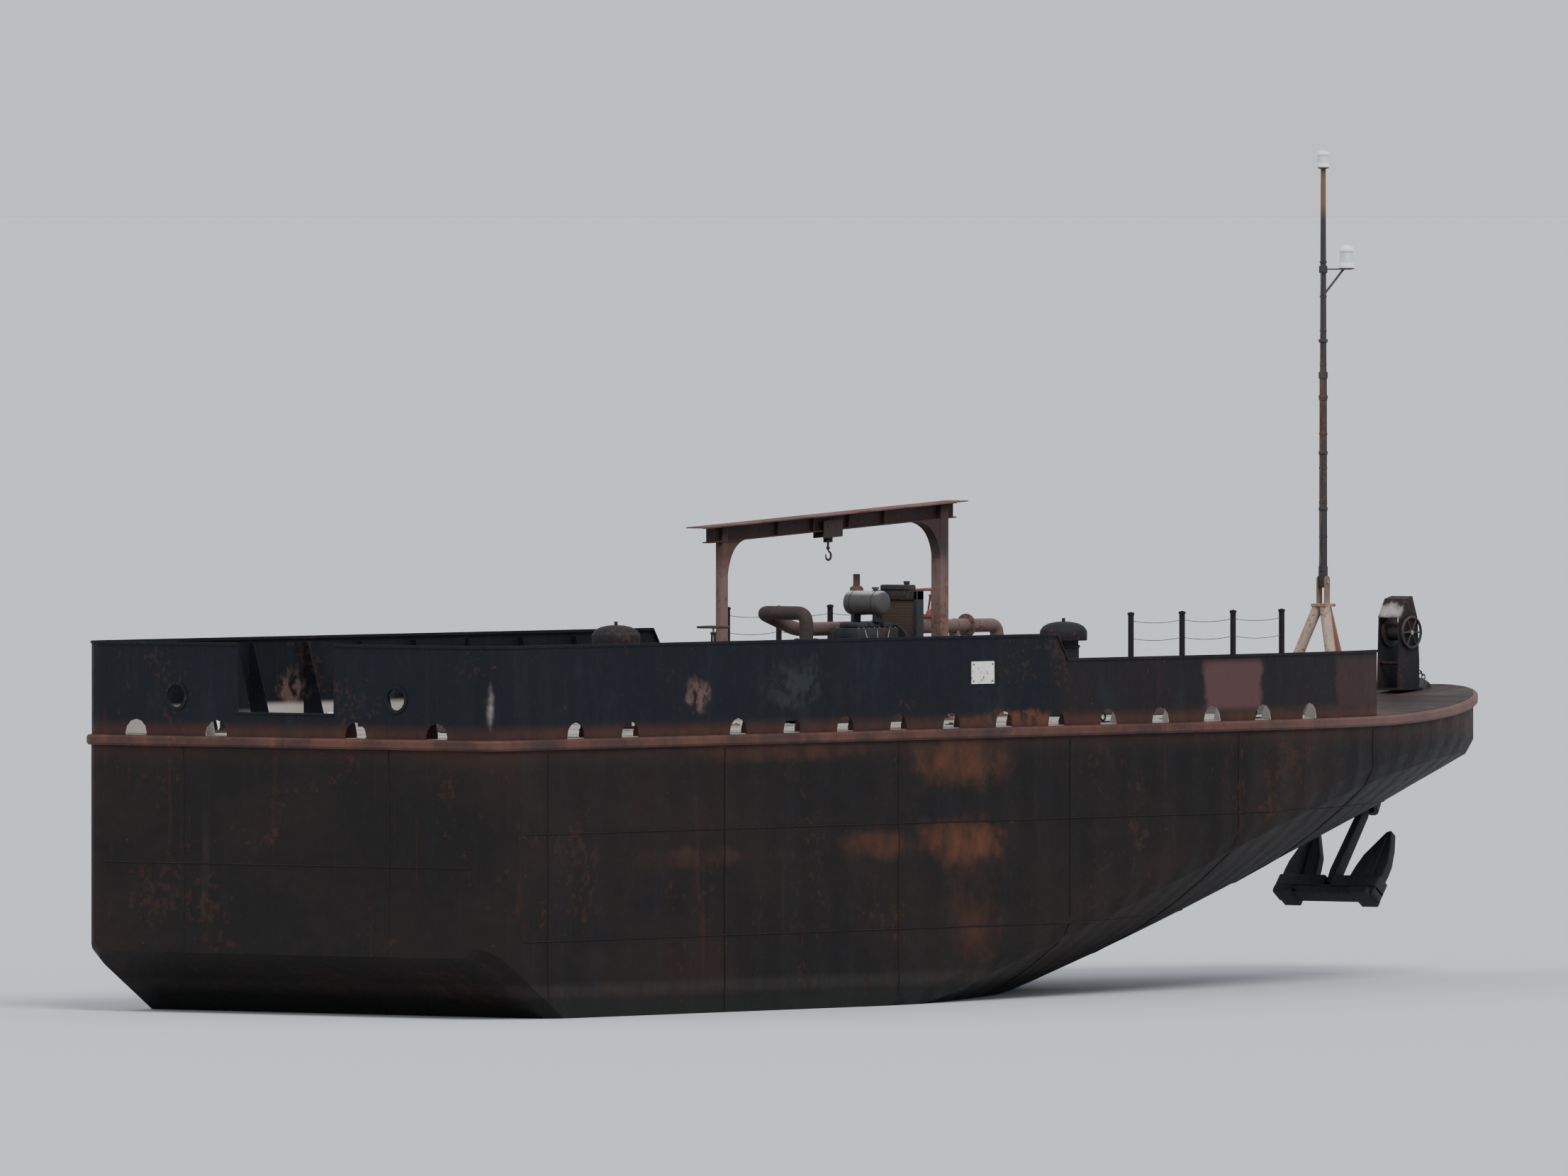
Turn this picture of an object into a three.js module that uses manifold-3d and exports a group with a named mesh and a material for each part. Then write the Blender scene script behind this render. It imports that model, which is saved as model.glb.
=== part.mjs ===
// River tank barge, unpowered: a decked steel hull with a long spoon bow, bulwarks with freeing
// ports, a goalpost with a travelling hoist, a deck pump set with its pipes, a folding lantern
// mast, and an anchor under the bow.
//
// Millimetres, +Z up, +X to the bow, +Y to port. z = 0 is the flat bottom. While it is built,
// x = 0 is the transom; the group at the end moves the middle of the length to x = 0.

import * as THREE from "three";
import { mergeVertices } from "three/addons/utils/BufferGeometryUtils.js";
import Module from "manifold-3d";

const wasm = await Module();
wasm.setup();

// Driving dimensions of the hull.
const LENGTH = 20300;
const BREADTH = 5600;
const DEPTH = 3550;
const GAP = 0.3; // between pieces that rest on each other

const STERN_CORNER = 250; // radius of the deck's corners at the transom
const STERN_TUCK_HEIGHT = 1250; // underside of the transom
const STERN_TUCK_LENGTH = 2000;

const BOW_START = 13100; // the deck edge is straight up to here
const BOW_POWER = 1.75; // of the superellipse that the deck edge follows from there
const SHEER_START = 15500;
const SHEER_RISE = 250;

const RAKE_START = 9000; // on the centre line, where the bottom leaves the flat
const RAKE_RISE = 2985; // height of the underside at the stem
const RAKE_POWER = 1.27;
const RAKE_LEAD = 5000; // how much further aft the chine leaves the flat
const RAKE_LEAD_POWER = 1.5; // how that lead grows from the centre line to the chine
const BILGE = 110;

const HALF = BREADTH / 2;
const BOW_LENGTH = LENGTH - BOW_START;
const SIDES = [
  { side: "port", sign: 1 },
  { side: "starboard", sign: -1 },
];

const COLOURS = {
  hull: 0x2b2321,
  wall: 0x23262b,
  redLead: 0x7a3a2c,
  rust: 0x6e4433,
  primer: 0xa07a6c,
  machine: 0x2c3033,
  white: 0xd8d6cc,
  iron: 0x24211f,
};

// Shapes: each helper gives a manifold-3d solid made from three.js geometry.

function solidOf(geometry) {
  const bare = new THREE.BufferGeometry();
  const source = geometry.index ? geometry.toNonIndexed() : geometry;
  bare.setAttribute("position", source.getAttribute("position"));
  const merged = mergeVertices(bare, 1e-3);
  const corners = [];
  const index = merged.index.array;
  for (let i = 0; i < index.length; i += 3) {
    const [a, b, c] = [index[i], index[i + 1], index[i + 2]];
    if (a !== b && b !== c && c !== a) corners.push(a, b, c);
  }
  return new wasm.Manifold(
    new wasm.Mesh({
      numProp: 3,
      vertProperties: Float32Array.from(merged.attributes.position.array),
      triVerts: Uint32Array.from(corners),
    }),
  );
}

function join(...solids) {
  return solids.flat().reduce((whole, next) => whole.add(next));
}

function box([x0, x1], [y0, y1], [z0, z1]) {
  const geometry = new THREE.BoxGeometry(x1 - x0, y1 - y0, z1 - z0);
  geometry.translate((x0 + x1) / 2, (y0 + y1) / 2, (z0 + z1) / 2);
  return solidOf(geometry);
}

// A round bar or cone between two points.
function rod(from, to, radius, sides = 12, endRadius = radius) {
  const a = new THREE.Vector3(...from);
  const b = new THREE.Vector3(...to);
  const geometry = new THREE.CylinderGeometry(endRadius, radius, a.distanceTo(b), sides);
  const turn = new THREE.Quaternion().setFromUnitVectors(
    new THREE.Vector3(0, 1, 0),
    b.clone().sub(a).normalize(),
  );
  geometry.applyQuaternion(turn);
  geometry.translate((a.x + b.x) / 2, (a.y + b.y) / 2, (a.z + b.z) / 2);
  return solidOf(geometry);
}

function extruded(shape, depth) {
  return new THREE.ExtrudeGeometry(shape, { depth, bevelEnabled: false, curveSegments: 8 });
}

function outline(points) {
  return new THREE.Shape(points.map(([u, v]) => new THREE.Vector2(u, v)));
}

// A plate standing fore and aft: its outline is in x and z, its thickness from y0 to y1.
function plateAlong(shape, [y0, y1]) {
  const geometry = extruded(shape, y1 - y0);
  geometry.rotateX(Math.PI / 2);
  geometry.translate(0, y1, 0);
  return solidOf(geometry);
}

// A plate standing across the barge: its outline is in y and z, its thickness from x0 to x1.
function plateAcross(shape, [x0, x1]) {
  const geometry = extruded(shape, x1 - x0);
  const turn = new THREE.Matrix4().makeBasis(
    new THREE.Vector3(0, 1, 0),
    new THREE.Vector3(0, 0, 1),
    new THREE.Vector3(1, 0, 0),
  );
  geometry.applyMatrix4(turn);
  geometry.translate(x0, 0, 0);
  return solidOf(geometry);
}

// A skin through a row of rings, each with the same number of points, with flat ends.
function loft(rings) {
  const count = rings[0].length;
  const position = rings.flat().flatMap((p) => [p.x, p.y, p.z]);
  const index = [];
  for (let r = 0; r + 1 < rings.length; r++) {
    for (let k = 0; k < count; k++) {
      const a = r * count + k;
      const b = r * count + ((k + 1) % count);
      index.push(a, b, b + count, a, b + count, a + count);
    }
  }
  const last = (rings.length - 1) * count;
  for (let k = 1; k + 1 < count; k++) {
    index.push(0, k + 1, k);
    index.push(last, last + k, last + k + 1);
  }
  const geometry = new THREE.BufferGeometry();
  geometry.setAttribute("position", new THREE.Float32BufferAttribute(position, 3));
  geometry.setIndex(index);
  const made = solidOf(geometry);
  if (made.volume() > 0) return made;
  geometry.setIndex(index.reverse());
  return solidOf(geometry);
}

// A path through given places, with one step for each leg between them.
class Route extends THREE.Curve {
  constructor(places) {
    super();
    this.places = places;
  }
  getPoint(t) {
    const at = t * (this.places.length - 1);
    const leg = Math.min(Math.floor(at), this.places.length - 2);
    return this.places[leg].clone().lerp(this.places[leg + 1], at - leg);
  }
  getUtoTmapping(u) {
    return u;
  }
}

// A bent pipe: straight legs between the points, with a curve at each corner.
function pipe(points, radius, bend, sides = 10, bendSteps = 4) {
  const corners = points.map((p) => new THREE.Vector3(...p));
  const places = [corners[0]];
  for (let i = 1; i + 1 < corners.length; i++) {
    const before = corners[i].clone().sub(corners[i - 1]).normalize();
    const after = corners[i + 1].clone().sub(corners[i]).normalize();
    const bendStart = corners[i].clone().addScaledVector(before, -bend);
    const bendEnd = corners[i].clone().addScaledVector(after, bend);
    const curve = new THREE.QuadraticBezierCurve3(bendStart, corners[i], bendEnd);
    places.push(...curve.getPoints(bendSteps));
  }
  places.push(corners.at(-1));
  const section = new THREE.Shape();
  section.absarc(0, 0, radius, 0, 2 * Math.PI);
  const options = {
    steps: places.length - 1,
    extrudePath: new Route(places),
    curveSegments: sides / 2,
    bevelEnabled: false,
  };
  return solidOf(new THREE.ExtrudeGeometry(section, options));
}

// A round body about a standing axis: rows of radius and height, from the foot to the top.
function turned([x, y, z], rows, sides = 20) {
  const profile = rows.map(([radius, height]) => new THREE.Vector2(radius, height));
  const geometry = new THREE.LatheGeometry(profile, sides);
  geometry.rotateX(Math.PI / 2);
  geometry.translate(x, y, z);
  return solidOf(geometry);
}

// A handwheel on a standing spindle: rim, two spokes and hub.
function handwheel([x, y, z], radius) {
  const rim = new THREE.TorusGeometry(radius, 14, 6, 16);
  rim.translate(x, y, z);
  return join(
    solidOf(rim),
    rod([x - radius, y, z], [x + radius, y, z], 9, 6),
    rod([x, y - radius, z], [x, y + radius, z], 9, 6),
    rod([x, y, z - 20], [x, y, z + 24], 26, 10),
  );
}

// Hull form, as functions of the distance from the transom.

function deckHeight(x) {
  const run = Math.max(0, (x - SHEER_START) / (LENGTH - SHEER_START));
  return DEPTH + SHEER_RISE * run * run;
}

function bottomHeight(x, y) {
  const tuck = STERN_TUCK_HEIGHT * (1 - x / STERN_TUCK_LENGTH);
  const lead = RAKE_LEAD * Math.abs(y / HALF) ** RAKE_LEAD_POWER;
  const reach = x + lead - RAKE_START;
  const run = Math.max(0, reach / (LENGTH - RAKE_START));
  return Math.max(0, tuck, RAKE_RISE * run ** RAKE_POWER);
}

// Deck edge on the port side, from the middle of the transom to the stem: places with the
// direction that points away from the hull.
function deckEdge() {
  const places = [
    { x: 0, y: 0, nx: -1, ny: 0 },
    { x: 0, y: 600, nx: -1, ny: 0 },
  ];
  for (let step = 0; step <= 4; step++) {
    const turn = ((step / 4) * Math.PI) / 2;
    const [nx, ny] = [-Math.cos(turn), Math.sin(turn)];
    const x = STERN_CORNER + STERN_CORNER * nx;
    places.push({ x, y: HALF - STERN_CORNER + STERN_CORNER * ny, nx, ny });
  }
  const straight = [STERN_TUCK_LENGTH, 3000, 5000, 6500, 8000, 9000, 10000, 11000, 12000];
  for (const x of straight) places.push({ x, y: HALF, nx: 0, ny: 1 });
  const steps = 16;
  for (let step = 0; step <= steps; step++) {
    const turn = (Math.min(step / steps, 0.985) * Math.PI) / 2;
    const along = Math.sin(turn) ** (2 / BOW_POWER);
    const out = Math.cos(turn) ** (2 / BOW_POWER);
    const normal = new THREE.Vector2(
      along ** (BOW_POWER - 1) / BOW_LENGTH,
      out ** (BOW_POWER - 1) / HALF,
    ).normalize();
    places.push({ x: BOW_START + BOW_LENGTH * along, y: HALF * out, nx: normal.x, ny: normal.y });
  }
  return places;
}

const EDGE = deckEdge();
const SIDE_EDGE_FROM = 6; // the place where the stern corner ends

// A place on the deck edge at a given x, forward of the stern corner.
function edgeAt(x) {
  const after = EDGE.findIndex((p, i) => i > SIDE_EDGE_FROM && p.x >= x);
  const [a, b] = [EDGE[after - 1], EDGE[after]];
  const t = (x - a.x) / (b.x - a.x);
  const mix = (key) => a[key] + (b[key] - a[key]) * t;
  return { x, y: mix("y"), nx: mix("nx"), ny: mix("ny") };
}

// Height of the plated deck, which is flat from one place of the deck edge to the next.
function plateHeight(x) {
  if (x <= SHEER_START) return DEPTH;
  const after = EDGE.findIndex((p) => p.x >= x);
  const [a, b] = [EDGE[after - 1], EDGE[after]];
  const t = (x - a.x) / (b.x - a.x);
  return deckHeight(a.x) + (deckHeight(b.x) - deckHeight(a.x)) * t;
}

// A strip that follows places on the deck edge. Its section is a row of [out, up] points, where
// out is from the hull's side and up is from the level that the given function returns.
function edgeStrip(places, sign, section, levelAt) {
  const rings = places.map((p) =>
    section.map(([out, up]) => {
      const [x, y] = [p.x + out * p.nx, sign * (p.y + out * p.ny)];
      return new THREE.Vector3(x, y, levelAt(p.x) + up);
    }),
  );
  return loft(rings);
}

const barge = new THREE.Group();
barge.name = "barge";
barge.position.x = -EDGE.at(-1).x / 2;

function addPiece(name, solid, colour, roughness = 0.85, metalness = 0.1) {
  const source = solid.getMesh();
  const geometry = new THREE.BufferGeometry();
  geometry.setAttribute("position", new THREE.BufferAttribute(source.vertProperties, 3));
  geometry.setIndex(new THREE.BufferAttribute(source.triVerts, 1));
  geometry.computeVertexNormals();
  const material = new THREE.MeshStandardMaterial({ color: colour, roughness, metalness });
  const mesh = new THREE.Mesh(geometry, material);
  mesh.name = name;
  barge.add(mesh);
}

// Anchor line: the hawse pipe runs straight from the deck near the stem down and aft.
const HAWSE_DECK = [19920, 0, plateHeight(19920)];
const HAWSE_SLOPE = 0.75; // aft run for each unit of drop
const HAWSE_RADIUS = 120;
const HAWSE_FIT = 1; // between the pipe and its hole in the hull
const hawseAt = (z) => [HAWSE_DECK[0] - HAWSE_SLOPE * (HAWSE_DECK[2] - z), 0, z];

// Hull: rings from the transom to the stem, then the hole for the hawse pipe.
const BOTTOM_SPLITS = [0, 0.25, 0.5, 0.7, 0.85, 1];

function hullRing({ x, y: half }) {
  const bilge = Math.min(BILGE, half * 0.4);
  const halfRing = BOTTOM_SPLITS.map((part) => {
    const y = (half - bilge) * part;
    return [y, bottomHeight(x, y)];
  });
  halfRing.push([half, bottomHeight(x, half) + bilge], [half, deckHeight(x)]);
  const port = halfRing.map(([y, z]) => new THREE.Vector3(x, y, z));
  const starboard = halfRing
    .slice(1)
    .reverse()
    .map(([y, z]) => new THREE.Vector3(x, -y, z));
  return [...port, ...starboard];
}

const hullPlaces = EDGE.slice(2);
const hullShell = loft(hullPlaces.map(hullRing));
const hawseHole = rod(hawseAt(1500), hawseAt(4200), HAWSE_RADIUS, 16);
addPiece("hull", hullShell.subtract(hawseHole), COLOURS.hull);

// Gunwale bars: a half-round bar at the deck edge on each side, from the transom to the stem.
const GUNWALE_SECTION = [
  [GAP, 0],
  [32, 0],
  [50, -24],
  [50, -86],
  [32, -110],
  [GAP, -110],
];
for (const { side, sign } of SIDES) {
  const places = EDGE.map((p) => ({ ...p, y: Math.max(p.y, 2) }));
  const bar = edgeStrip(places, sign, GUNWALE_SECTION, (x) => plateHeight(x) - 4);
  addPiece(`gunwale_${side}`, bar, COLOURS.redLead);
}

// Bulwarks: plate walls on the deck edge with a cap bar, arched freeing ports and inside stays. The
// high wall aft and the low wall forward meet in a butt joint ahead of the step.
const WALL_THICKNESS = 10;
const WALL_SETBACK = 4;
const WALL_AFT_HEIGHT = 970;
const WALL_FORWARD_HEIGHT = 700;
const WALL_STEP_X = 9720;
const WALL_STEP_RUN = 180;
const WALL_BUTT_X = 9960;
const WALL_END_X = 15850;
const PORT_FIRST_X = 1420;
const PORT_PITCH = 921;
const PORT_COUNT = 15;
const PORT_MISSING = 2; // the third one is plated over
const PORT_WIDTH = 290;
const PORT_SILL = 25;
const STANCHIONS_X = [11040, 11950, 12860, 13770];
const STANCHION_TOP = 1170;
const STANCHION_RADIUS = 32;
const STANCHION_SET_IN = 17;

function wallHeight(x) {
  const t = Math.min(1, Math.max(0, (x - WALL_STEP_X) / WALL_STEP_RUN));
  return WALL_AFT_HEIGHT + (WALL_FORWARD_HEIGHT - WALL_AFT_HEIGHT) * t;
}

function wallPlaces(fromX, toX) {
  const inner = EDGE.slice(SIDE_EDGE_FROM).filter((p) => p.x > fromX && p.x < toX);
  const step = [WALL_STEP_X, WALL_STEP_X + WALL_STEP_RUN].filter((x) => x > fromX && x < toX);
  const extra = [fromX, ...step, toX].map(edgeAt);
  return [...inner, ...extra].sort((a, b) => a.x - b.x);
}

function wallStrip(places, sign) {
  const [outer, inner] = [-WALL_SETBACK, -WALL_SETBACK - WALL_THICKNESS];
  const rings = places.map((p) => {
    const foot = plateHeight(p.x) + GAP;
    const top = plateHeight(p.x) + p.height;
    const at = (out, z) =>
      new THREE.Vector3(p.x + out * p.nx, sign * (p.y + out * p.ny), z);
    return [at(outer, foot), at(outer, top), at(inner, top), at(inner, foot)];
  });
  const caps = places.map((p) => {
    const top = plateHeight(p.x) + p.height;
    const at = (out, z) =>
      new THREE.Vector3(p.x + out * p.nx, sign * (p.y + out * p.ny), z);
    return [at(8, top - 8), at(8, top + 22), at(-42, top + 22), at(-42, top - 8)];
  });
  return join(loft(rings), loft(caps));
}

// A solid drawn at the origin, +X along the wall and +Y away from the hull, put on the deck edge.
function onEdge(solid, place, sign) {
  const angle = Math.atan2(-place.nx, place.ny);
  const z = plateHeight(place.x);
  if (sign > 0) {
    return solid.rotate([0, 0, (angle * 180) / Math.PI]).translate([place.x, place.y, z]);
  }
  return solid
    .mirror([0, 1, 0])
    .rotate([0, 0, (-angle * 180) / Math.PI])
    .translate([place.x, -place.y, z]);
}

function freeingPort() {
  const arch = rod([0, -60, PORT_SILL], [0, 60, PORT_SILL], PORT_WIDTH / 2, 12);
  const sill = box([-PORT_WIDTH / 2, PORT_WIDTH / 2], [-60, 60], [-20, PORT_SILL]);
  const below = box([-PORT_WIDTH, PORT_WIDTH], [-70, 70], [-400, -19]);
  return arch.add(sill).subtract(below);
}

// An inside stay: a bracket plate square to the wall.
function stay(height) {
  const foot = 330;
  const shape = outline([
    [-WALL_SETBACK - 2, GAP],
    [-foot, GAP],
    [-foot, 45],
    [-70, height - 50],
    [-WALL_SETBACK - 2, height - 50],
  ]);
  return plateAcross(shape, [-5, 5]);
}

function sideWall(fromX, toX, sign) {
  const isOn = (x) => x > fromX && x < toX;
  const heights = wallPlaces(fromX, toX).map((p) => ({ ...p, height: wallHeight(p.x) }));
  let wall = wallStrip(heights, sign);
  for (let k = 0; k < PORT_COUNT; k++) {
    const portX = PORT_FIRST_X + k * PORT_PITCH;
    if (k !== PORT_MISSING && isOn(portX)) {
      wall = wall.subtract(onEdge(freeingPort(), edgeAt(portX), sign));
    }
    const stayX = portX + PORT_PITCH / 2;
    if (isOn(stayX)) wall = wall.add(onEdge(stay(wallHeight(stayX)), edgeAt(stayX), sign));
  }
  for (const x of STANCHIONS_X.filter(isOn)) {
    const [foot, head] = [wallHeight(x), STANCHION_TOP].map((z) => [0, -STANCHION_SET_IN, z]);
    const post = rod(foot, head, STANCHION_RADIUS, 10);
    const rows = [
      [0, -6],
      [STANCHION_RADIUS + 7, 2],
      [STANCHION_RADIUS + 7, 26],
      [0, 38],
    ];
    const ball = turned(head, rows, 10);
    wall = wall.add(onEdge(post.add(ball), edgeAt(x), sign));
  }
  return wall;
}

const WALL_RUNS = [
  { place: "aft", fromX: STERN_CORNER + 1, toX: WALL_BUTT_X },
  { place: "forward", fromX: WALL_BUTT_X + GAP, toX: WALL_END_X },
];
for (const { place, fromX, toX } of WALL_RUNS) {
  for (const { side, sign } of SIDES) {
    addPiece(`bulwark_${place}_${side}`, sideWall(fromX, toX, sign), COLOURS.wall);
  }
}

// Stern bulwark: the same wall round the transom, cut down in the middle for stepping over.
const GATE_HALF_WIDTH = 650;
const GATE_SILL = 260;
const CHOCK_Y = 1500;

function sternPlaces() {
  const half = EDGE.slice(1, SIDE_EDGE_FROM + 1);
  const starboard = half
    .slice()
    .reverse()
    .map((p) => ({ ...p, y: -p.y, ny: -p.ny }));
  return [...starboard, ...half].map((p) => ({ ...p, height: WALL_AFT_HEIGHT }));
}

function sternWall() {
  const deck = plateHeight(0);
  const cut = box(
    [-200, 200],
    [-GATE_HALF_WIDTH, GATE_HALF_WIDTH],
    [deck + GATE_SILL, deck + WALL_AFT_HEIGHT + 200],
  );
  let wall = wallStrip(sternPlaces(), 1).subtract(cut);
  wall = wall.add(
    box(
      [WALL_SETBACK - 12, WALL_SETBACK + 38],
      [-GATE_HALF_WIDTH - 8, GATE_HALF_WIDTH + 8],
      [deck + GATE_SILL - 22, deck + GATE_SILL],
    ),
  );
  for (const sign of [-1, 1]) {
    const chock = rod([-100, sign * CHOCK_Y, deck + 420], [200, sign * CHOCK_Y, deck + 420], 120, 16);
    const lip = rod([-8, sign * CHOCK_Y, deck + 420], [34, sign * CHOCK_Y, deck + 420], 155, 16);
    wall = wall.add(lip).subtract(chock);
    for (const y of [950, 2050]) {
      const middle = [sign * y, deck + PORT_SILL];
      const arch = rod([-60, ...middle], [60, ...middle], PORT_WIDTH / 2, 12);
      const below = box([-70, 70], [sign * y - 300, sign * y + 300], [deck - 400, deck - 19]);
      wall = wall.subtract(arch.subtract(below));
    }
    for (const y of [700, 1240, 1800]) {
      const shape = outline([
        [WALL_SETBACK + 2, deck + GAP],
        [330, deck + GAP],
        [330, deck + 45],
        [70, deck + WALL_AFT_HEIGHT - 50],
        [WALL_SETBACK + 2, deck + WALL_AFT_HEIGHT - 50],
      ]);
      wall = wall.add(plateAlong(shape, [sign * y - 5, sign * y + 5]));
    }
  }
  return wall;
}
addPiece("bulwark_stern", sternWall(), COLOURS.wall);

// Blank marker plates on the outside of the bulwarks.
for (const { side, sign } of SIDES) {
  const face = sign * (HALF - WALL_SETBACK);
  const [y0, y1] = [face + sign * GAP, face + sign * 12].sort((a, b) => a - b);
  const plate = box([8210, 8600], [y0, y1], [DEPTH + 470, DEPTH + 710]);
  addPiece(`marker_plate_${side}`, plate, COLOURS.white, 0.6, 0);
}

// Bitts: two posts with caps on a base plate, with a bar between them.
function bitts([x, y], postRadius, height, spacing) {
  const reach = spacing / 2 + postRadius + 50;
  const deck = plateHeight(x + reach) + GAP;
  const posts = [-1, 1].map((end) => {
    const rows = [
      [0, 0],
      [postRadius, 0],
      [postRadius, height - 40],
      [postRadius + 22, height - 30],
      [postRadius + 22, height],
      [0, height + 12],
    ];
    return turned([x + (end * spacing) / 2, y, deck + 10], rows, 16);
  });
  const base = box([x - reach, x + reach], [y - postRadius - 50, y + postRadius + 50], [deck, deck + 22]);
  const barZ = deck + height * 0.55;
  const bar = rod([x - spacing / 2, y, barZ], [x + spacing / 2, y, barZ], postRadius * 0.34, 12);
  return join(posts, base, bar);
}

const BITTS = [
  { place: "stern", x: 1350, y: 2080, radius: 110, height: 500, spacing: 520 },
  { place: "bow", x: 16300, y: 1560, radius: 84, height: 400, spacing: 420 },
];
for (const { place, x, y, radius, height, spacing } of BITTS) {
  for (const { side, sign } of SIDES) {
    const pair = bitts([x, sign * y], radius, height, spacing);
    addPiece(`bitts_${place}_${side}`, pair, COLOURS.iron);
  }
}

// Goalpost: two posts on the centre line, an I beam that rises to the bow, curved gussets, and a
// cover plate along the top.
const POST_AFT = { x: 7430, half: 50 };
const POST_FORWARD = { x: 11250, half: 70 };
const BEAM_START = 7160;
const BEAM_END = 11480;
const BEAM_TOP_AT_AFT_POST = 2150;
const BEAM_SLOPE = 0.0535;
const BEAM_DEPTH = 170;
const BEAM_HALF_WIDTH = 55;
const FLANGE = 14;
const beamTop = (x) => DEPTH + BEAM_TOP_AT_AFT_POST + (x - POST_AFT.x) * BEAM_SLOPE;

// A bar that follows the beam's slope, with its top a given distance under the beam's top.
function slopingBar([x0, x1], [y0, y1], below, depth) {
  const shape = outline([
    [x0, beamTop(x0) - below - depth],
    [x1, beamTop(x1) - below - depth],
    [x1, beamTop(x1) - below],
    [x0, beamTop(x0) - below],
  ]);
  return plateAlong(shape, [y0, y1]);
}

function gusset({ x, half }, direction, reach, drop) {
  const z = beamTop(x) - BEAM_DEPTH + 4;
  const shape = new THREE.Shape();
  const startX = x + direction * (half - 4);
  const top = (at) => beamTop(at) - BEAM_DEPTH + 4;
  shape.moveTo(startX, top(startX));
  shape.lineTo(startX + direction * reach, top(startX + direction * reach));
  shape.quadraticCurveTo(startX + direction * 40, z - 30, startX, z - drop);
  shape.closePath();
  return plateAlong(shape, [-half + 8, half - 8]);
}

const goalpost = join(
  slopingBar([BEAM_START, BEAM_END], [-BEAM_HALF_WIDTH, BEAM_HALF_WIDTH], 0, FLANGE),
  slopingBar([BEAM_START, BEAM_END], [-5, 5], 4, BEAM_DEPTH - 8),
  slopingBar([BEAM_START, BEAM_END], [-BEAM_HALF_WIDTH, BEAM_HALF_WIDTH], BEAM_DEPTH - FLANGE, FLANGE),
  [POST_AFT, POST_FORWARD].map(({ x, half }) =>
    join(
      box([x - half, x + half], [-half, half], [DEPTH + 10, beamTop(x) - 8]),
      box([x - half - 90, x + half + 90], [-half - 90, half + 90], [DEPTH + GAP, DEPTH + 20]),
    ),
  ),
  gusset(POST_AFT, 1, 330, 430),
  gusset(POST_FORWARD, -1, 480, 460),
);
addPiece("goalpost_frame", goalpost, COLOURS.rust);

const COVER_THICKNESS = 14;
const COVER_HALF_WIDTH = 150;
addPiece(
  "goalpost_cover",
  slopingBar([7000, 11560], [-COVER_HALF_WIDTH, COVER_HALF_WIDTH], -COVER_THICKNESS - GAP, COVER_THICKNESS),
  COLOURS.redLead,
);

// Hoist trolley on the beam's lower flange, and the hook block that swings under it.
const TROLLEY_X = 9280;
const TROLLEY_LENGTH = 330;
const WHEEL_RADIUS = 42;
const TROLLEY_CLEAR = 8;
const HOOK_PIN_BELOW = 264;

function trolley() {
  const flangeTop = BEAM_DEPTH - FLANGE;
  const [x0, x1] = [TROLLEY_X - TROLLEY_LENGTH / 2, TROLLEY_X + TROLLEY_LENGTH / 2];
  const inner = BEAM_HALF_WIDTH + TROLLEY_CLEAR;
  const cheeks = [-1, 1].map((s) => {
    const [y0, y1] = [s * inner, s * (inner + 12)].sort((a, b) => a - b);
    return slopingBar([x0, x1], [y0, y1], flangeTop - 2 * WHEEL_RADIUS - 20, 190);
  });
  const bottom = slopingBar([x0 + 60, x1 - 60], [-inner - 12, inner + 12], flangeTop + 44, 24);
  const wheels = [-1, 1].flatMap((s) =>
    [-1, 1].map((end) => {
      const x = TROLLEY_X + (end * TROLLEY_LENGTH) / 4;
      const z = beamTop(x) - flangeTop + (WHEEL_RADIUS + 0.5) / Math.cos(Math.atan(BEAM_SLOPE));
      return rod([x, s * (inner - TROLLEY_CLEAR - 22), z], [x, s * (inner + 6), z], WHEEL_RADIUS, 16);
    }),
  );
  const lugs = [-1, 1].map((s) => {
    const [y0, y1] = [s * 22, s * 34].sort((a, b) => a - b);
    return slopingBar([TROLLEY_X - 40, TROLLEY_X + 40], [y0, y1], flangeTop + 60, 80);
  });
  const pinZ = beamTop(TROLLEY_X) - HOOK_PIN_BELOW;
  const pin = rod([TROLLEY_X, -40, pinZ], [TROLLEY_X, 40, pinZ], 11, 12);
  return join(cheeks, bottom, wheels, lugs, pin);
}

function hookBlock() {
  const z = beamTop(TROLLEY_X) - HOOK_PIN_BELOW;
  const bore = rod([TROLLEY_X, -40, z], [TROLLEY_X, 40, z], 11.5, 12);
  const block = join(
    rod([TROLLEY_X, -16, z], [TROLLEY_X, 16, z], 30, 14),
    box([TROLLEY_X - 14, TROLLEY_X + 14], [-12, 12], [z - 80, z - 15]),
  ).subtract(bore);
  const hook = pipe(
    [
      [TROLLEY_X, 0, z - 70],
      [TROLLEY_X, 0, z - 120],
      [TROLLEY_X + 55, 0, z - 150],
      [TROLLEY_X + 45, 0, z - 215],
      [TROLLEY_X - 25, 0, z - 220],
      [TROLLEY_X - 50, 0, z - 165],
    ],
    11,
    18,
    8,
    2,
  );
  return block.add(hook);
}
addPiece("hoist_trolley", trolley(), COLOURS.iron);
addPiece("hoist_hook", hookBlock(), COLOURS.iron);

// Pump set on the centre line, between the posts: bed, engine, radiator, tank, exhaust and pump.
const BED = { from: 8620, to: 10740, half: 330, height: 160 };
const SHAFT_Z = DEPTH + 560;
const ENGINE = { from: 9560, to: 10360, half: 230, top: 1080 };
const EXHAUST_X = 10230;
const EXHAUST_Y = ENGINE.half + 12;
const EXHAUST_Z = DEPTH + ENGINE.top - 130;

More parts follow.
